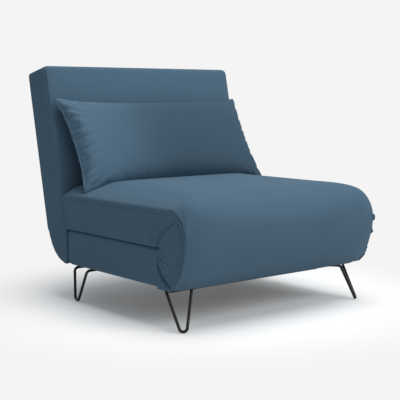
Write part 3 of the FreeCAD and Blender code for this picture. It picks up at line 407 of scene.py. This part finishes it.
def crown_seat(co):
    """Raises the top and pushes the nose forward towards the middle of the width."""
    across = np.clip(1 - np.abs(co[:, 0] / 0.439) ** 14.0, 0, 1)
    height = soft_step((co[:, 2] - FOLD.z - 0.02) / 0.08)
    front = soft_step((FOLD.y - 0.02 - co[:, 1]) / 0.10)
    low = soft_step((co[:, 2] - FLOOR_GAP) / 0.05)
    out = co.copy()
    out[:, 2] += CROWN_RISE * across * height
    out[:, 1] -= NOSE_REACH * across * front * (0.35 + 0.65 * low)
    return out


def seat_seams():
    """Where the cover is sewn: the side edges, the foot at the back and the fold line."""
    lines = []
    outline = seat_outline()
    for side in (-HALF, HALF):
        loop = [(side, y, z) for y, z in outline]
        lines.append(loop + loop[:1])
    for y, z in (outline[-1], outline[0]):
        lines.append([(-HALF, y, z), (HALF, y, z)])
    lines.append([(-HALF, FOLD.y, FOLD.z), (HALF, FOLD.y, FOLD.z)])
    return lines


# Lines on the side of the seat, measured from the front fold's axis, in metres
TOP_SEAM_Z = 0.355
SIDE_BULGE = 0.008
FRONT_SAG = 0.009
FRONT_BAND_SEAMS = ((0.0175, 0.0040), (0.0035, 0.0036))
GUSSET_EDGE = curve_through([
    (-0.106, 0.380), (-0.090, 0.360), (-0.060, 0.341), (-0.024, 0.316), (-0.005, 0.291), (0.000, 0.272),
    (0.006, 0.256), (0.008, 0.240), (0.003, 0.218), (-0.008, 0.196), (-0.024, 0.176), (-0.046, 0.157),
    (-0.076, 0.143),
], 8)
GATHERS = [
    ((0.000, 0.266), (-0.088, 0.262), 0.0026, 0.0040),
    ((0.005, 0.254), (-0.070, 0.247), 0.0030, 0.0044),
    ((0.007, 0.243), (-0.092, 0.222), 0.0036, 0.0046),
    ((0.007, 0.230), (-0.062, 0.206), 0.0028, 0.0040),
    ((0.004, 0.217), (-0.080, 0.176), 0.0042, 0.0050),
    ((-0.001, 0.206), (-0.052, 0.176), 0.0038, 0.0044),
    ((-0.008, 0.194), (-0.070, 0.156), 0.0042, 0.0046),
    ((-0.018, 0.182), (-0.060, 0.150), 0.0028, 0.0038),
    ((-0.002, 0.286), (-0.060, 0.296), 0.0016, 0.0040),
    ((-0.012, 0.302), (-0.062, 0.322), 0.0013, 0.0040),
]
PLEATS = [
    ((0.003, 0.288), (0.004, 0.352), 0.0022, 0.0042),
    ((0.015, 0.284), (0.020, 0.358), 0.0028, 0.0044),
    ((0.028, 0.281), (0.036, 0.350), 0.0020, 0.0046),
    ((-0.010, 0.308), (-0.018, 0.362), 0.0024, 0.0042),
    ((-0.026, 0.320), (-0.038, 0.368), 0.0018, 0.0042),
    ((0.044, 0.280), (0.054, 0.328), 0.0010, 0.0050),
]
TOP_FOLDS = [
    ((-0.100, 0.372), (-0.060, 0.352), 0.0016, 0.0040),
    ((-0.110, 0.356), (-0.072, 0.334), 0.0010, 0.0040),
]


def work_seat_sides(obj):
    """Sews the side panels, the gathered gusset and the band round the front."""
    co = points(obj)
    nrm = normals(obj)
    facing = soft_step((np.abs(nrm[:, 0]) - 0.45) / 0.3)
    p = co[:, 1:] - np.array((FOLD.y, 0.0))
    outline = [(y - FOLD.y, z) for y, z in seat_outline()]
    rim, _ = off_line(p, outline + outline[:1])
    round_corner = rim - (HALF - np.abs(co[:, 0]))
    near_side = soft_step((np.abs(co[:, 0]) - HALF + 0.045) / 0.02)
    ahead = soft_step((-0.078 - p[:, 0]) / 0.05) * soft_step((p[:, 1] - FLOOR_GAP - 0.012) / 0.02)
    gusset_off, along = off_line(p, GUSSET_EDGE)
    ends = soft_step(along / 0.12) * soft_step((1 - along) / 0.06)
    amount = groove(p, GUSSET_EDGE, 0.0078, 0.0044, 0.25) * facing * ends
    edge_y, edge_z = np.array(GUSSET_EDGE[::-1]).T
    inside = (p[:, 0] < np.interp(p[:, 1], edge_z, edge_y)) * ends
    amount += inside * facing * (0.0065 * soft_step(gusset_off / 0.035) - 0.0040 * soft_step(gusset_off / 0.006))
    folds = (creases(p, GATHERS) + creases(p, PLEATS) + creases(p, TOP_FOLDS)) * facing * 1.6
    amount += np.minimum(folds, 0.0022)
    for at, depth in FRONT_BAND_SEAMS:
        band = np.exp(-((round_corner - at) / 0.0026) ** 2)
        amount -= depth * band * ahead * near_side
    amount += 0.0024 * np.exp(-((round_corner - 0.0105) / 0.0042) ** 2) * ahead * near_side
    top = soft_step((p[:, 1] - TOP_SEAM_Z) / 0.01) * soft_step((p[:, 0] + 0.104) / 0.06)
    amount -= 0.0022 * np.exp(-((round_corner - 0.010) / 0.0028) ** 2) * top * near_side
    rear = soft_step((p[:, 0] - 0.50) / 0.02) * soft_step((0.36 - p[:, 1]) / 0.02)
    amount -= 0.0018 * np.exp(-((round_corner - 0.014) / 0.003) ** 2) * rear * near_side
    low_edge = soft_step((0.283 - p[:, 1]) / 0.006) * soft_step((p[:, 1] - 0.268) / 0.004)
    low_edge = low_edge * soft_step((p[:, 0] - 0.004) / 0.01)
    amount -= 0.0010 * np.exp(-((round_corner - 0.012) / 0.0025) ** 2) * low_edge * near_side
    push(obj, np.minimum(amount, 0.0034))
    co = points(obj)
    sag = soft_step((HALF - np.abs(co[:, 0])) / 0.05) * soft_step((FOLD.y - 0.03 - co[:, 1]) / 0.03)
    co[:, 2] = np.maximum(co[:, 2], FLOOR_GAP - 0.010 * sag)
    co[:, 2] -= FRONT_SAG * sag * soft_step((0.20 - co[:, 2]) / 0.05)
    beyond = np.abs(co[:, 0]) - HALF
    calm = np.where(beyond > 0, SIDE_BULGE * np.tanh(beyond / SIDE_BULGE), beyond)
    co[:, 0] = np.sign(co[:, 0]) * (HALF + calm)
    set_points(obj, co)


seat_cover = drawn_section("seat_cover", seat_outline(), -HALF, HALF, 60, 0.012)
set_points(seat_cover, crown_seat(points(seat_cover)))
remesh(seat_cover, 0.0068)
relax(seat_cover, 3)
seat_held = hold_near(points(seat_cover), seat_seams(), 0.004, 0.030)
seat_held = np.maximum(seat_held, soft_step((FLOOR_GAP + 0.012 - points(seat_cover)[:, 2]) / 0.008))
inflate(seat_cover, 3.0, 0.012, seat_held, frames=12)
relax(seat_cover, 4)
subdivided(seat_cover)
work_seat_sides(seat_cover)

EDGE_CORD_LENGTH = 0.545
EDGE_CORD_RADIUS = 0.0026
seat_cords = []
for side in (-1, 1):
    low_line = [
        (side * (HALF - 0.003), FOLD.y + 0.004 + EDGE_CORD_LENGTH * i / 60, FOLD.z + 0.0095) for i in range(61)
    ]
    seat_cords.append(cord_along("edge_cord", low_line, EDGE_CORD_RADIUS, (1, 0, 0)))
seat_cover = join_to(seat_cover, seat_cords)


def part_off(source, name, cuts):
    """A copy of the cover that keeps one side of each cutting plane, closed where it is cut."""
    piece = source.copy()
    piece.data = source.data.copy()
    piece.name = name
    bpy.context.collection.objects.link(piece)
    activate(piece)
    bpy.ops.object.mode_set(mode="EDIT")
    for place, away in cuts:
        bpy.ops.mesh.select_all(action="SELECT")
        bpy.ops.mesh.bisect(plane_co=place, plane_no=away, use_fill=True, clear_outer=True)
        bpy.ops.mesh.region_to_loop()
        bpy.ops.mesh.mark_sharp()
    bpy.ops.object.mode_set(mode="OBJECT")
    return piece


ahead_of_fold = ((0, FOLD.y, 0), (0, 1, 0))
behind_fold = ((0, FOLD.y, 0), (0, -1, 0))
wrap_top = part_off(seat_cover, "front_wrap_top", [ahead_of_fold, ((0, 0, FOLD.z), (0, 0, -1))])
wrap_foot = part_off(seat_cover, "front_wrap_foot", [ahead_of_fold, ((0, 0, FOLD.z), (0, 0, 1))])
seat_top = part_off(seat_cover, "upper_cover", [behind_fold, ((0, 0, FOLD.z - 0.003), (0, 0, -1))])
bpy.data.objects.remove(seat_cover)


# Lower section: it starts ahead of the fold and is trimmed there, so that it meets the wrap squarely

TRIMMED_AHEAD = 0.016
lower_cover = block(
    "lower_cover",
    (-HALF + 0.0005, FOLD.y - TRIMMED_AHEAD, FLOOR_GAP + 0.001),
    (HALF - 0.0005, HINGE.y - 0.001, FOLD.z - 0.001),
    cuts=6,
    edge=0.013,
)
remesh(lower_cover, 0.0085)
relax(lower_cover, 3)


def box_edges(low, high):
    lines = []
    for i in range(3):
        j, k = (i + 1) % 3, (i + 2) % 3
        for b in (low[j], high[j]):
            for c in (low[k], high[k]):
                start = [0, 0, 0]
                start[i], start[j], start[k] = low[i], b, c
                end = list(start)
                end[i] = high[i]
                lines.append([tuple(start), tuple(end)])
    return lines


ahead_low = (lower_low[0], lower_low[1] - TRIMMED_AHEAD, lower_low[2])
lower_held = hold_near(points(lower_cover), box_edges(ahead_low, lower_high), 0.006, 0.030)
lower_held = np.maximum(lower_held, soft_step((FLOOR_GAP + 0.008 - points(lower_cover)[:, 2]) / 0.006))
inflate(lower_cover, 2.0, 0.006, lower_held, frames=10)
relax(lower_cover, 3)
subdivided(lower_cover)


def work_lower_sides(obj):
    """Sews the upright side seams of the lower section and a shallow one along its foot."""
    co = points(obj)
    facing = soft_step((np.abs(normals(obj)[:, 0]) - 0.5) / 0.3)
    p = co[:, 1:] - np.array((FOLD.y, 0.0))
    rear = [(0.538, FLOOR_GAP), (0.540, 0.270)]
    foot = [(0.0, FLOOR_GAP + 0.013), (0.555, FLOOR_GAP + 0.013)]
    amount = groove(p, rear, 0.0022, 0.0030) + groove(p, foot, 0.0012, 0.0030)
    marks = [((0.012, 0.262), (0.030, 0.214), 0.0018, 0.0045), ((0.016, 0.246), (0.040, 0.190), 0.0014, 0.0050),
             ((0.012, 0.222), (0.034, 0.168), 0.0012, 0.0050)]
    amount += creases(p, marks)
    push(obj, amount * facing)


work_lower_sides(lower_cover)
whole = lower_cover
lower_cover = part_off(whole, "lower_section", [behind_fold])
bpy.data.objects.remove(whole)


# Back cover, made upright at the origin, then leaned; the wedge behind the hinge is drawn in place

def leaned(co):
    """From the back's own frame to its place on the hinge."""
    out = np.empty_like(co)
    out[:, 0] = co[:, 0]
    out[:, 1] = HINGE.y + co[:, 1] * math.cos(LEAN) + co[:, 2] * math.sin(LEAN)
    out[:, 2] = HINGE.z - co[:, 1] * math.sin(LEAN) + co[:, 2] * math.cos(LEAN)
    return out


back_panel = block(
    "back_cover",
    (-HALF - 0.004, 0.001, 0.0),
    (HALF + 0.004, BACK_THICK + 0.009, BACK_LENGTH + 0.005),
    cuts=6,
    edge=0.012,
    segments=4,
)
set_points(back_panel, leaned(points(back_panel)))


def rear_outline():
    outline = [(HINGE.y + 0.001, HINGE.z + 0.010)]
    for i in range(9):
        a = -LEAN - (math.pi / 2 - LEAN) * i / 8
        radius = BACK_THICK + (lower_high[2] - lower_low[2] - BACK_THICK) * i / 8
        outline.append((HINGE.y + radius * math.cos(a) - 0.001, HINGE.z + radius * math.sin(a) + 0.001))
    return outline


rear_wedge = drawn_section("rear_wedge", rear_outline(), -HALF - 0.002, HALF + 0.002, 8, 0.008, 2)
activate(back_panel)
rear_wedge.select_set(True)
bpy.ops.object.join()
back_cover = bpy.context.active_object
remesh(back_cover, 0.0078)
relax(back_cover, 3)
back_lines = [
    [tuple(p) for p in leaned(np.array(line))]
    for line in box_edges((-HALF - 0.004, 0, 0), (HALF + 0.004, BACK_THICK + 0.010, BACK_LENGTH + 0.006))
]
back_held = hold_near(points(back_cover), back_lines, 0.005, 0.034)
foot = points(back_cover)
back_held = np.maximum(back_held, soft_step((HINGE.z + 0.03 - foot[:, 2]) / 0.02) * 0.9)
inflate(back_cover, 3.0, 0.011, back_held, frames=12)
relax(back_cover, 4)
subdivided(back_cover)


def work_back(obj):
    """Sews the seams that join the back's side band to its front and rear panels."""
    co = points(obj)
    nrm = normals(obj)
    y = co[:, 1] - HINGE.y
    z = co[:, 2] - HINGE.z
    through = y * math.cos(LEAN) - z * math.sin(LEAN)
    up = y * math.sin(LEAN) + z * math.cos(LEAN)
    turned = nrm[:, 1] * math.cos(LEAN) - nrm[:, 2] * math.sin(LEAN)
    band = soft_step((0.80 - np.abs(turned)) / 0.25)
    along = soft_step((up - 0.02) / 0.03)
    amount = np.zeros(len(co))
    for at in (0.0085, BACK_THICK + 0.001):
        amount -= 0.0026 * np.exp(-((through - at) / 0.0030) ** 2) * band * along
        inner = at + (0.0068 if at < BACK_THICK / 2 else -0.0068)
        amount += 0.0010 * np.exp(-((through - inner) / 0.0040) ** 2) * band * along
    behind = soft_step((turned - 0.6) / 0.3)
    flat = np.stack((co[:, 0], up), axis=1)
    amount += groove(flat, [(-0.40, 0.060), (0.40, 0.060)], 0.0030, 0.0032) * behind
    sides = soft_step((np.abs(nrm[:, 0]) - 0.5) / 0.3)
    p = np.stack((through, up), axis=1)
    marks = [((0.020, 0.010), (0.052, 0.075), 0.0020, 0.0050), ((0.045, 0.002), (0.078, 0.060), 0.0022, 0.0050),
             ((0.070, -0.008), (0.100, 0.045), 0.0020, 0.0050), ((0.030, -0.030), (0.010, -0.090), 0.0020, 0.0050)]
    amount += creases(p, marks) * sides
    push(obj, amount)


work_back(back_cover)


# Lumbar cushion: two panels sewn round the edge, blown up from nearly flat

def knife_edge(co):
    """Thins a block towards its rim, as two panels sewn together."""
    w, h, t = (s / 2 for s in LUMBAR_SIZE)
    u = np.clip(np.abs(co[:, 0]) / w, 0, 1)
    v = np.clip(np.abs(co[:, 2]) / h, 0, 1)
    full = ((1 - u ** 4) * (1 - v ** 2.6)) ** 0.5
    out = co.copy()
    out[:, 1] = co[:, 1] * (0.06 + 0.94 * full)
    out[:, 0] = co[:, 0] * (1 - 0.020 * (1 - v ** 2))
    out[:, 2] = co[:, 2] * (1 - 0.035 * (1 - u ** 2))
    return out


sewn_size = (LUMBAR_SIZE[0], LUMBAR_SIZE[2] * 0.72, LUMBAR_SIZE[1])
lumbar_cover = block("lumbar_cover", tuple(-s / 2 for s in sewn_size), tuple(s / 2 for s in sewn_size), cuts=40)
set_points(lumbar_cover, knife_edge(points(lumbar_cover)))
remesh(lumbar_cover, 0.0055)
relax(lumbar_cover, 2)
nothing_held = np.zeros(len(points(lumbar_cover)))
inflate(lumbar_cover, 5.0, LUMBAR_FILL, nothing_held, frames=14, stiffness=10.0, bending=0.3)
relax(lumbar_cover, 1)
subdivided(lumbar_cover)

LUMBAR_PULLS = [
    ((-0.418, 0.150), (-0.350, 0.105), 0.0042, 0.0060),
    ((-0.412, 0.112), (-0.330, 0.080), 0.0034, 0.0065),
    ((-0.405, 0.060), (-0.345, 0.052), 0.0026, 0.0060),
    ((-0.402, 0.015), (-0.300, 0.040), 0.0034, 0.0070),
    ((-0.402, -0.030), (-0.330, -0.005), 0.0030, 0.0060),
    ((-0.405, -0.075), (-0.345, -0.045), 0.0028, 0.0060),
    ((-0.412, -0.120), (-0.350, -0.085), 0.0036, 0.0062),
    ((-0.400, -0.172), (-0.335, -0.120), 0.0040, 0.0064),
    ((-0.385, 0.182), (-0.330, 0.120), 0.0036, 0.0062),
    ((-0.330, 0.180), (-0.300, 0.130), 0.0020, 0.0060),
    ((-0.240, 0.178), (-0.228, 0.145), 0.0014, 0.0060),
    ((-0.120, 0.176), (-0.124, 0.146), 0.0012, 0.0060),
    ((0.030, 0.176), (0.024, 0.140), 0.0013, 0.0060),
    ((0.170, 0.177), (0.160, 0.146), 0.0013, 0.0060),
    ((0.290, 0.178), (0.272, 0.138), 0.0018, 0.0060),
    ((0.380, 0.182), (0.325, 0.125), 0.0034, 0.0064),
    ((0.418, 0.150), (0.345, 0.108), 0.0040, 0.0062),
    ((0.410, 0.090), (0.345, 0.072), 0.0026, 0.0060),
    ((0.403, 0.030), (0.330, 0.030), 0.0028, 0.0064),
    ((0.402, -0.025), (0.345, -0.010), 0.0024, 0.0060),
    ((0.408, -0.090), (0.340, -0.058), 0.0030, 0.0062),
    ((0.416, -0.148), (0.345, -0.098), 0.0040, 0.0064),
    ((0.372, -0.180), (0.322, -0.128), 0.0032, 0.0062),
    ((-0.200, -0.176), (-0.190, -0.140), 0.0014, 0.0060),
    ((0.100, -0.176), (0.106, -0.140), 0.0014, 0.0060),
    ((-0.330, -0.178), (-0.290, -0.135), 0.0022, 0.0060),
]


def work_lumbar(obj):
    """Pulls short folds in from the rim, and turned ones on the back face."""
    co = points(obj)
    nrm = normals(obj)
    size = np.abs(co).max(axis=0)
    p = np.stack((co[:, 0] * LUMBAR_SIZE[0] / 2 / size[0], co[:, 2] * LUMBAR_SIZE[1] / 2 / size[2]), axis=1)
    front = soft_step((-nrm[:, 1] - 0.1) / 0.3)
    rear = soft_step((nrm[:, 1] - 0.1) / 0.3)
    amount = creases(p, LUMBAR_PULLS) * front * LUMBAR_FOLD_SHARE
    turned = [((-a[0], -a[1]), (-b[0], -b[1]), d, w) for a, b, d, w in LUMBAR_PULLS]
    amount += creases(p, turned) * rear * LUMBAR_FOLD_SHARE
    push(obj, amount)


work_lumbar(lumbar_cover)


def rim_line(co, count=260):
    """The cushion's outermost line, found all the way round and then evened out."""
    size = np.abs(co).max(axis=0)
    u = co[:, 0] / size[0]
    v = co[:, 2] / size[2]
    reach = np.abs(u) ** 8 + np.abs(v) ** 8
    slot = ((np.arctan2(v, u) + math.pi) / (2 * math.pi) * count).astype(int) % count
    found = np.zeros((count, 3))
    for i in range(count):
        mine = np.flatnonzero(slot == i)
        found[i] = co[mine[np.argmax(reach[mine])]]
    for _ in range(4):
        found = (np.roll(found, 1, axis=0) + 2 * found + np.roll(found, -1, axis=0)) / 4
    turn = np.arange(count) * 2 * math.pi / count
    out = found[:, (0, 2)] / np.linalg.norm(found[:, (0, 2)], axis=1, keepdims=True)
    wave = 0.0007 * np.sin(31 * turn) + 0.0005 * np.sin(47 * turn + 1.3)
    found[:, 0] += out[:, 0] * (0.0010 + wave)
    found[:, 2] += out[:, 1] * (0.0010 + wave)
    return np.vstack((found, found[:2]))


welt = cord_along("welt", rim_line(points(lumbar_cover)), WELT_RADIUS, (0, 1, 0))
lumbar_cover = join_to(lumbar_cover, [welt])


def set_lumbar(co):
    """Fits the cushion to its size, leans it on the back and settles it on the seat."""
    size = co.max(axis=0) - co.min(axis=0)
    middle = (co.max(axis=0) + co.min(axis=0)) / 2
    want = np.array([LUMBAR_SIZE[0], LUMBAR_SIZE[2], LUMBAR_SIZE[1]])
    co = (co - middle) * want / size
    u = co[:, 0] / (want[0] / 2)
    v = co[:, 2] / (want[2] / 2)
    ear = np.where(v > 0, np.where(u < 0, 1.0, 0.6), np.where(u < 0, 0.25, 1.7))
    co[:, 0] += np.sign(u) * 0.014 * ear * np.abs(u) ** 9 * np.abs(v) ** 3 + 0.007 * soft_step(u / 0.8)
    co[:, 2] += np.sign(v) * 0.009 * ear * np.abs(v) ** 9 * np.abs(u) ** 3
    tilt = LUMBAR_TILT
    out = np.empty_like(co)
    out[:, 0] = co[:, 0]
    out[:, 1] = LUMBAR_MIDDLE.y + co[:, 1] * math.cos(tilt) + co[:, 2] * math.sin(tilt)
    out[:, 2] = LUMBAR_MIDDLE.z - co[:, 1] * math.sin(tilt) + co[:, 2] * math.cos(tilt)
    return out


set_points(lumbar_cover, set_lumbar(points(lumbar_cover)))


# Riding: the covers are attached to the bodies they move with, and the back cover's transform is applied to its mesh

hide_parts("upper_cushion")
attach(seat_top, "upper_seat")
for piece, body in ((wrap_top, "upper_seat"), (wrap_foot, "base")):
    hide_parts("front_fold")
    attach(piece, body)
    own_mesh(piece)
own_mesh(seat_top)

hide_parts("lower_cushion")
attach(lower_cover, "base")

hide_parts("back_cushion", "rear_fold")
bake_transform(back_cover)

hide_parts("lumbar_cushion")
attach(lumbar_cover, "lumbar")
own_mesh(lumbar_cover)


# Materials

class Wire:
    """A socket that can be added to, multiplied and so on."""

    def __init__(self, finish, socket):
        self.finish = finish
        self.socket = socket

    def math(self, operation, a, b=None):
        return self.finish.node("ShaderNodeMath", {"operation": operation}, {0: a, 1: b})[0]

    def __add__(self, other):
        return self.math("ADD", self, other)

    def __mul__(self, other):
        return self.math("MULTIPLY", self, other)

    def __rmul__(self, other):
        return self.math("MULTIPLY", other, self)

    def __pow__(self, other):
        return self.math("POWER", self, other)


class Finish:
    """One procedural finish, with the object's own coordinates to hand."""

    def __init__(self, name, color, roughness, metallic=0.0):
        self.material = bpy.data.materials.new(name)
        self.material.use_nodes = True
        self.tree = self.material.node_tree
        self.shader = self.tree.nodes["Principled BSDF"]
        self.set("Base Color", (*color, 1))
        self.set("Roughness", roughness)
        self.set("Metallic", metallic)
        self.place = self.node("ShaderNodeTexCoord", {}, {})["Object"]

    def node(self, kind, settings, inputs):
        made = self.tree.nodes.new(kind)
        for key, value in settings.items():
            setattr(made, key, value)
        for key, value in inputs.items():
            if value is None:
                continue
            if isinstance(value, Wire):
                self.tree.links.new(value.socket, made.inputs[key])
            else:
                made.inputs[key].default_value = value
        return Outputs(self, made)

    def set(self, name, value):
        if isinstance(value, Wire):
            self.tree.links.new(value.socket, self.shader.inputs[name])
        else:
            self.shader.inputs[name].default_value = value

    def stretched(self, scale):
        return self.node("ShaderNodeMapping", {}, {"Vector": self.place, "Scale": scale})["Vector"]

    def noise(self, scale, detail=3.0, roughness=0.5, vector=None):
        inputs = {"Vector": vector or self.place, "Scale": scale, "Detail": detail, "Roughness": roughness}
        return self.node("ShaderNodeTexNoise", {}, inputs)["Fac"]

    def wave(self, scale, direction):
        inputs = {"Vector": self.place, "Scale": scale, "Distortion": 0.0}
        return self.node("ShaderNodeTexWave", {"bands_direction": direction}, inputs)["Fac"]

    def mix(self, factor, a, b):
        a, b = ((*c, 1) if isinstance(c, tuple) else c for c in (a, b))
        return self.node("ShaderNodeMix", {"data_type": "RGBA"}, {"Factor": factor, 6: a, 7: b})[2]

    def ramp(self, value, start, end, low):
        """A smooth rise from low to one while the value goes from start to end."""
        inputs = {"Value": value, "From Min": start, "From Max": end, "To Min": low, "To Max": 1.0}
        return self.node("ShaderNodeMapRange", {"interpolation_type": "SMOOTHSTEP"}, inputs)["Result"]

    def bump(self, height, distance, strength=1.0, under=None):
        inputs = {"Height": height, "Distance": distance, "Strength": strength, "Normal": under}
        return self.node("ShaderNodeBump", {}, inputs)["Normal"]


class Outputs:
    """The output sockets of a new node, by name or number."""

    def __init__(self, finish, made):
        self.finish = finish
        self.made = made

    def __getitem__(self, key):
        return Wire(self.finish, self.made.outputs[key])


def dress(finish, *pieces):
    for piece in pieces:
        piece.data.materials.clear()
        piece.data.materials.append(finish.material)


def dress_node(finish, *names):
    for name in names:
        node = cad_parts[name]
        for place in node.material_slots:
            place.material = finish.material


def velvet(name, with_painted_shade=False):
    """Short pile: a soft cloudy nap, a fine pile grain and a faint sheen; with painted shade, the colour is painted
    lighter at the left and darker to the right, as light and shade fall across the cushion.
    """
    light = (0.079, 0.140, 0.200)
    dark = (0.063, 0.116, 0.168)
    made = Finish(name, light, 0.88)
    nap = made.noise(7.0, 3.0, 0.55)
    pile = made.noise(900.0, 2.0, 0.6)
    streaks = made.noise(60.0, 2.0, 0.5, made.stretched((1.0, 0.35, 0.35)))
    shade = made.mix(0.75 * nap + 0.25 * streaks, dark, light)
    if with_painted_shade:
        # Painted light and shade: the colour runs from a lighter copy at the left to a darker copy at the right,
        # standing in for how the light falls.
        across = made.node("ShaderNodeSeparateXYZ", {}, {"Vector": made.place})["X"]
        lean = made.ramp(across + 0.12 * nap, -0.36, 0.10, 0.0)
        shade = made.mix(lean, tuple(c * 1.12 for c in light), tuple(c * 0.66 for c in dark))
    made.set("Base Color", made.mix(0.30 * pile, shade, tuple(c * 0.75 for c in dark)))
    made.set("Sheen Weight", 0.06)
    made.set("Sheen Roughness", 0.5)
    made.set("Sheen Tint", (0.55, 0.72, 0.85, 1))
    made.set("Specular IOR Level", 0.12)
    made.set("Normal", made.bump(pile, 0.0004, 0.5, made.bump(nap, 0.002, 0.3)))
    return made


def powder_coat(name, color, roughness):
    made = Finish(name, color, roughness)
    made.set("Specular IOR Level", 0.25)
    speck = made.noise(1400.0, 1.0)
    made.set("Roughness", 0.08 * speck + roughness)
    made.set("Normal", made.bump(speck, 0.0002, 0.4))
    return made


def zinc():
    made = Finish("zinc_plate", (0.56, 0.57, 0.58), 0.35, 1.0)
    cloud = made.noise(60.0, 4.0)
    made.set("Base Color", made.mix(cloud, (0.48, 0.49, 0.50), (0.64, 0.65, 0.66)))
    made.set("Roughness", 0.25 * cloud + 0.22)
    return made


def birch():
    made = Finish("birch_laminate", (0.72, 0.55, 0.36), 0.42)
    grain = made.noise(40.0, 4.0, 0.6, made.stretched((0.12, 1.6, 1.6)))
    layer = made.wave(160.0, "Z")
    made.set("Base Color", made.mix(grain, (0.60, 0.43, 0.26), (0.78, 0.61, 0.42)))
    made.set("Coat Weight", 0.2)
    made.set("Normal", made.bump(grain + 0.2 * layer, 0.0004, 0.5))
    return made


def nylon():
    made = Finish("moulded_nylon", (0.03, 0.03, 0.032), 0.5)
    grain = made.noise(700.0, 2.0)
    made.set("Roughness", 0.15 * grain + 0.42)
    made.set("Normal", made.bump(grain, 0.0002, 0.3))
    return made


def strap_weave():
    made = Finish("strap_weave", (0.05, 0.05, 0.055), 0.85)
    rows = made.wave(260.0, "X") * made.wave(260.0, "Y")
    stripe = made.wave(18.0, "X")
    made.set("Base Color", made.mix(stripe ** 3.0, (0.035, 0.035, 0.04), (0.10, 0.10, 0.11)))
    made.set("Normal", made.bump(rows, 0.0006, 0.6))
    return made


def lining():
    made = Finish("black_lining", (0.02, 0.02, 0.022), 0.9)
    felt = made.noise(500.0, 4.0, 0.7)
    made.set("Base Color", made.mix(felt, (0.012, 0.012, 0.014), (0.045, 0.045, 0.05)))
    made.set("Normal", made.bump(felt, 0.0005, 0.6))
    return made


dress(velvet("slate_velvet"), seat_top, wrap_top, wrap_foot, lower_cover, back_cover)
dress(velvet("slate_velvet_painted_shade", with_painted_shade=True), lumbar_cover)
dress_node(
    powder_coat("black_powder_coat", (0.012, 0.012, 0.013), 0.38),
    "front_leg_left", "front_leg_right", "rear_leg_left", "rear_leg_right", "front_leg_plates", "rear_leg_plates",
)
dress_node(
    powder_coat("grey_powder_coat", (0.06, 0.06, 0.065), 0.45),
    "base_side_rails", "base_cross_rails", "seat_frame_sides", "seat_frame_cross", "back_frame_sides",
    "back_frame_cross", "slide_channels", "slide_tubes", "slide_cross_tubes", "front_cross_tube",
)
dress_node(
    zinc(),
    "front_hinge_brackets", "front_hinge_pins", "back_hinge_plates", "back_hinge_pins", "pawl_pins", "pawl_springs",
    "seat_hinge_arms", "back_hinge_arms", "pawl_left", "pawl_right", "channel_bolts", "rear_leg_bolts",
    "front_leg_bolts",
)
dress_node(birch(), "base_slats")
dress_node(nylon(), "slat_holders", "slide_pads", "slide_runners", "slide_tube_caps")
dress_node(strap_weave(), "seat_webbing", "back_webbing")
dress_node(lining(), "underside_cover")


# Floor, world and lamps

PAPER = 0.905
PAPER_SEEN = 1.02
SHADOW_LIFT = 0.12
FADE_FROM = 0.36
FADE_TO = 1.05

deselect()
bpy.ops.mesh.primitive_plane_add(size=60, location=(0, 0, 0))
floor = bpy.context.active_object
floor.name = "floor"


def paper():
    """Seamless paper: it keeps the chair's shadow near the chair and meets the backdrop further off."""
    made = Finish("pale_paper", (0.75, 0.75, 0.75), 0.95)
    made.set("Specular IOR Level", 0.0)
    seen = made.node("ShaderNodeLightPath", {}, {})
    made.set("Base Color", made.mix(seen["Is Camera Ray"], (0.75, 0.75, 0.75), (PAPER_SEEN, PAPER_SEEN, PAPER_SEEN)))
    glow = made.node("ShaderNodeEmission", {}, {"Color": (PAPER, PAPER, PAPER, 1), "Strength": 1.0})["Emission"]
    away = made.node("ShaderNodeVectorMath", {"operation": "LENGTH"}, {0: made.place})["Value"]
    fade = made.ramp(away, FADE_FROM, FADE_TO, SHADOW_LIFT)
    share = seen["Is Camera Ray"].math("MAXIMUM", seen["Is Camera Ray"], seen["Is Glossy Ray"])
    surface = Wire(made, made.shader.outputs[0])
    both = made.node("ShaderNodeMixShader", {}, {0: fade * share, 1: surface, 2: glow})["Shader"]
    made.tree.links.new(both.socket, made.tree.nodes["Material Output"].inputs["Surface"])
    return made


dress(paper(), floor)

world = bpy.data.worlds.new("Studio")
bpy.context.scene.world = world
world.use_nodes = True
air = world.node_tree
seen = air.nodes.new("ShaderNodeLightPath")
ground = air.nodes["Background"]
either = air.nodes.new("ShaderNodeMath")
either.operation = "MAXIMUM"
air.links.new(seen.outputs["Is Camera Ray"], either.inputs[0])
air.links.new(seen.outputs["Is Glossy Ray"], either.inputs[1])
shade = air.nodes.new("ShaderNodeMix")
shade.data_type = "RGBA"
shade.inputs[6].default_value = (0.27, 0.295, 0.315, 1)
shade.inputs[7].default_value = (PAPER, PAPER, PAPER, 1)
air.links.new(either.outputs[0], shade.inputs["Factor"])
air.links.new(shade.outputs[2], ground.inputs["Color"])


def lamp(name, place, target, size, energy):
    data = bpy.data.lights.new(name, "AREA")
    data.shape = "DISK"
    data.size = size
    data.energy = energy
    obj = bpy.data.objects.new(name, data)
    bpy.context.collection.objects.link(obj)
    obj.location = place
    obj.rotation_euler = (Vector(target) - Vector(place)).to_track_quat("-Z", "Y").to_euler()


lamp("key", (3.4, -6.0, 4.6), (0, 0, 0.35), 4.4, 250)
lamp("overhead", (0.4, -0.6, 5.6), (0, 0, 0.4), 4.6, 228)
bpy.context.scene.view_settings.view_transform = "Standard"
